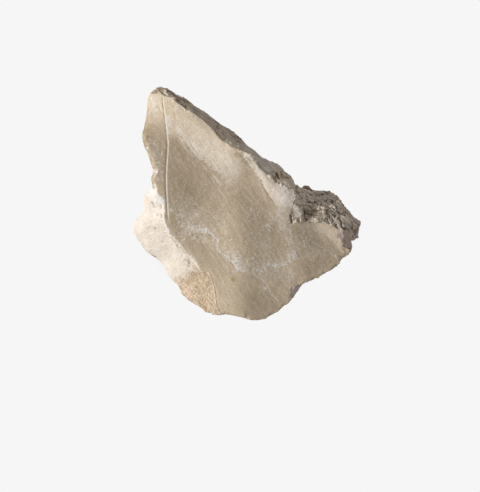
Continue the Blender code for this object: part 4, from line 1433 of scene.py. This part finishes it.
def gritGroup():
    # height of a fine grain, stronger where the surface is coarse
    tree, start, end = newGroup("grit", {"Coarse": 1.0, "Size": 0.001}, {"Height": "NodeSocketFloat"})
    grains = sizedNoise(tree, start.outputs["Size"], 5, 0.6)
    tree.links.new(arithmetic(tree, "MULTIPLY", grains, start.outputs["Coarse"]), end.inputs["Height"])
    return tree


def stoneMaterial():
    material = bpy.data.materials.new("paleStone")
    material.use_nodes = True
    tree = material.node_tree
    shader = tree.nodes["Principled BSDF"]
    mottle, grit = mottleGroup(), gritGroup()
    flecked = {name: fleckGroup(name, streak) for name, streak in fleckPatterns.items()}
    grained = {name: grainGroup(name, streak) for name, streak in grainPatterns.items()}
    amounts = {}  # how much of each flecked mask shows

    def place(group, **values):
        node = tree.nodes.new("ShaderNodeGroup")
        node.node_tree = group
        for label, value in values.items():
            socket = node.inputs[label.replace("_", " ")]
            if isinstance(value, (int, float)):
                socket.default_value = value
            elif isinstance(value, tuple):
                socket.default_value = (*value, 1)
            else:
                tree.links.new(value, socket)
        return node.outputs[0]

    def mask(name):
        node = tree.nodes.new("ShaderNodeAttribute")
        node.attribute_name = name
        return node.outputs["Fac"]

    def scaled(value, number):
        return arithmetic(tree, "MULTIPLY", value, number)

    def mottled(name):
        colourA, colourB, size, _ = surfaces[name]
        return place(mottle, Colour_A=colourA, Colour_B=colourB, Size=size)

    def laid(below, pattern, *values):
        if pattern in grained:
            name, size, strength = values
            strength = scaled(mask(name), strength) if name else strength
            return place(grained[pattern], Colour=below, Size=size, Strength=strength)
        tint, name, first, second, most = values
        if pattern == "even":
            amount = spread(tree, mask(name), first, second, 0, most)
        else:
            amounts[name] = place(flecked[pattern], Mask=mask(name), Size=first, Softness=second)
            amount = scaled(amounts[name], most)
        return mixColours(tree, below, tints[tint], amount)

    colour = mottled("face")
    for coat in faceCoats:
        colour = laid(colour, *coat)
    for name in surfaces:
        if name != "face":
            colour = mixColours(tree, colour, mottled(name), mask(name))
    for coat in coats:
        colour = laid(colour, *coat)
    tree.links.new(colour, shader.inputs["Base Color"])

    tree.links.new(spread(tree, mask("coarse"), 0.2, 0.8, *finish["roughness"]), shader.inputs["Roughness"])
    shader.inputs["Specular IOR Level"].default_value = finish["specular"]
    bump = tree.nodes.new("ShaderNodeBump")
    bump.inputs["Distance"].default_value = finish["gritDepth"]
    grains = place(grit, Coarse=mask("coarse"), Size=finish["gritSize"])
    height = arithmetic(tree, "ADD", grains, scaled(amounts["deposit"], finish["depositBump"]))
    tree.links.new(height, bump.inputs["Height"])
    tree.links.new(bump.outputs["Normal"], shader.inputs["Normal"])
    return material


def buildStone():
    mesh, deep, thick = buildMesh()
    masks = shapeStone(mesh, deep, thick)
    print("relief done")
    storeMasks(mesh, masks)
    mesh.transform(Matrix.Scale(mm, 4))
    mesh.shade_smooth()
    mesh.materials.clear()
    mesh.materials.append(stoneMaterial())
    piece = bpy.data.objects.new("stone", mesh)
    bpy.context.scene.collection.objects.link(piece)
    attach(piece, "root")
    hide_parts(nodeName)
    triangles = sum(len(p.vertices) - 2 for p in mesh.polygons)
    print("stone has", triangles, "triangles")


makeCamera()
makeStudio()
print("camera and studio ready")
buildStone()
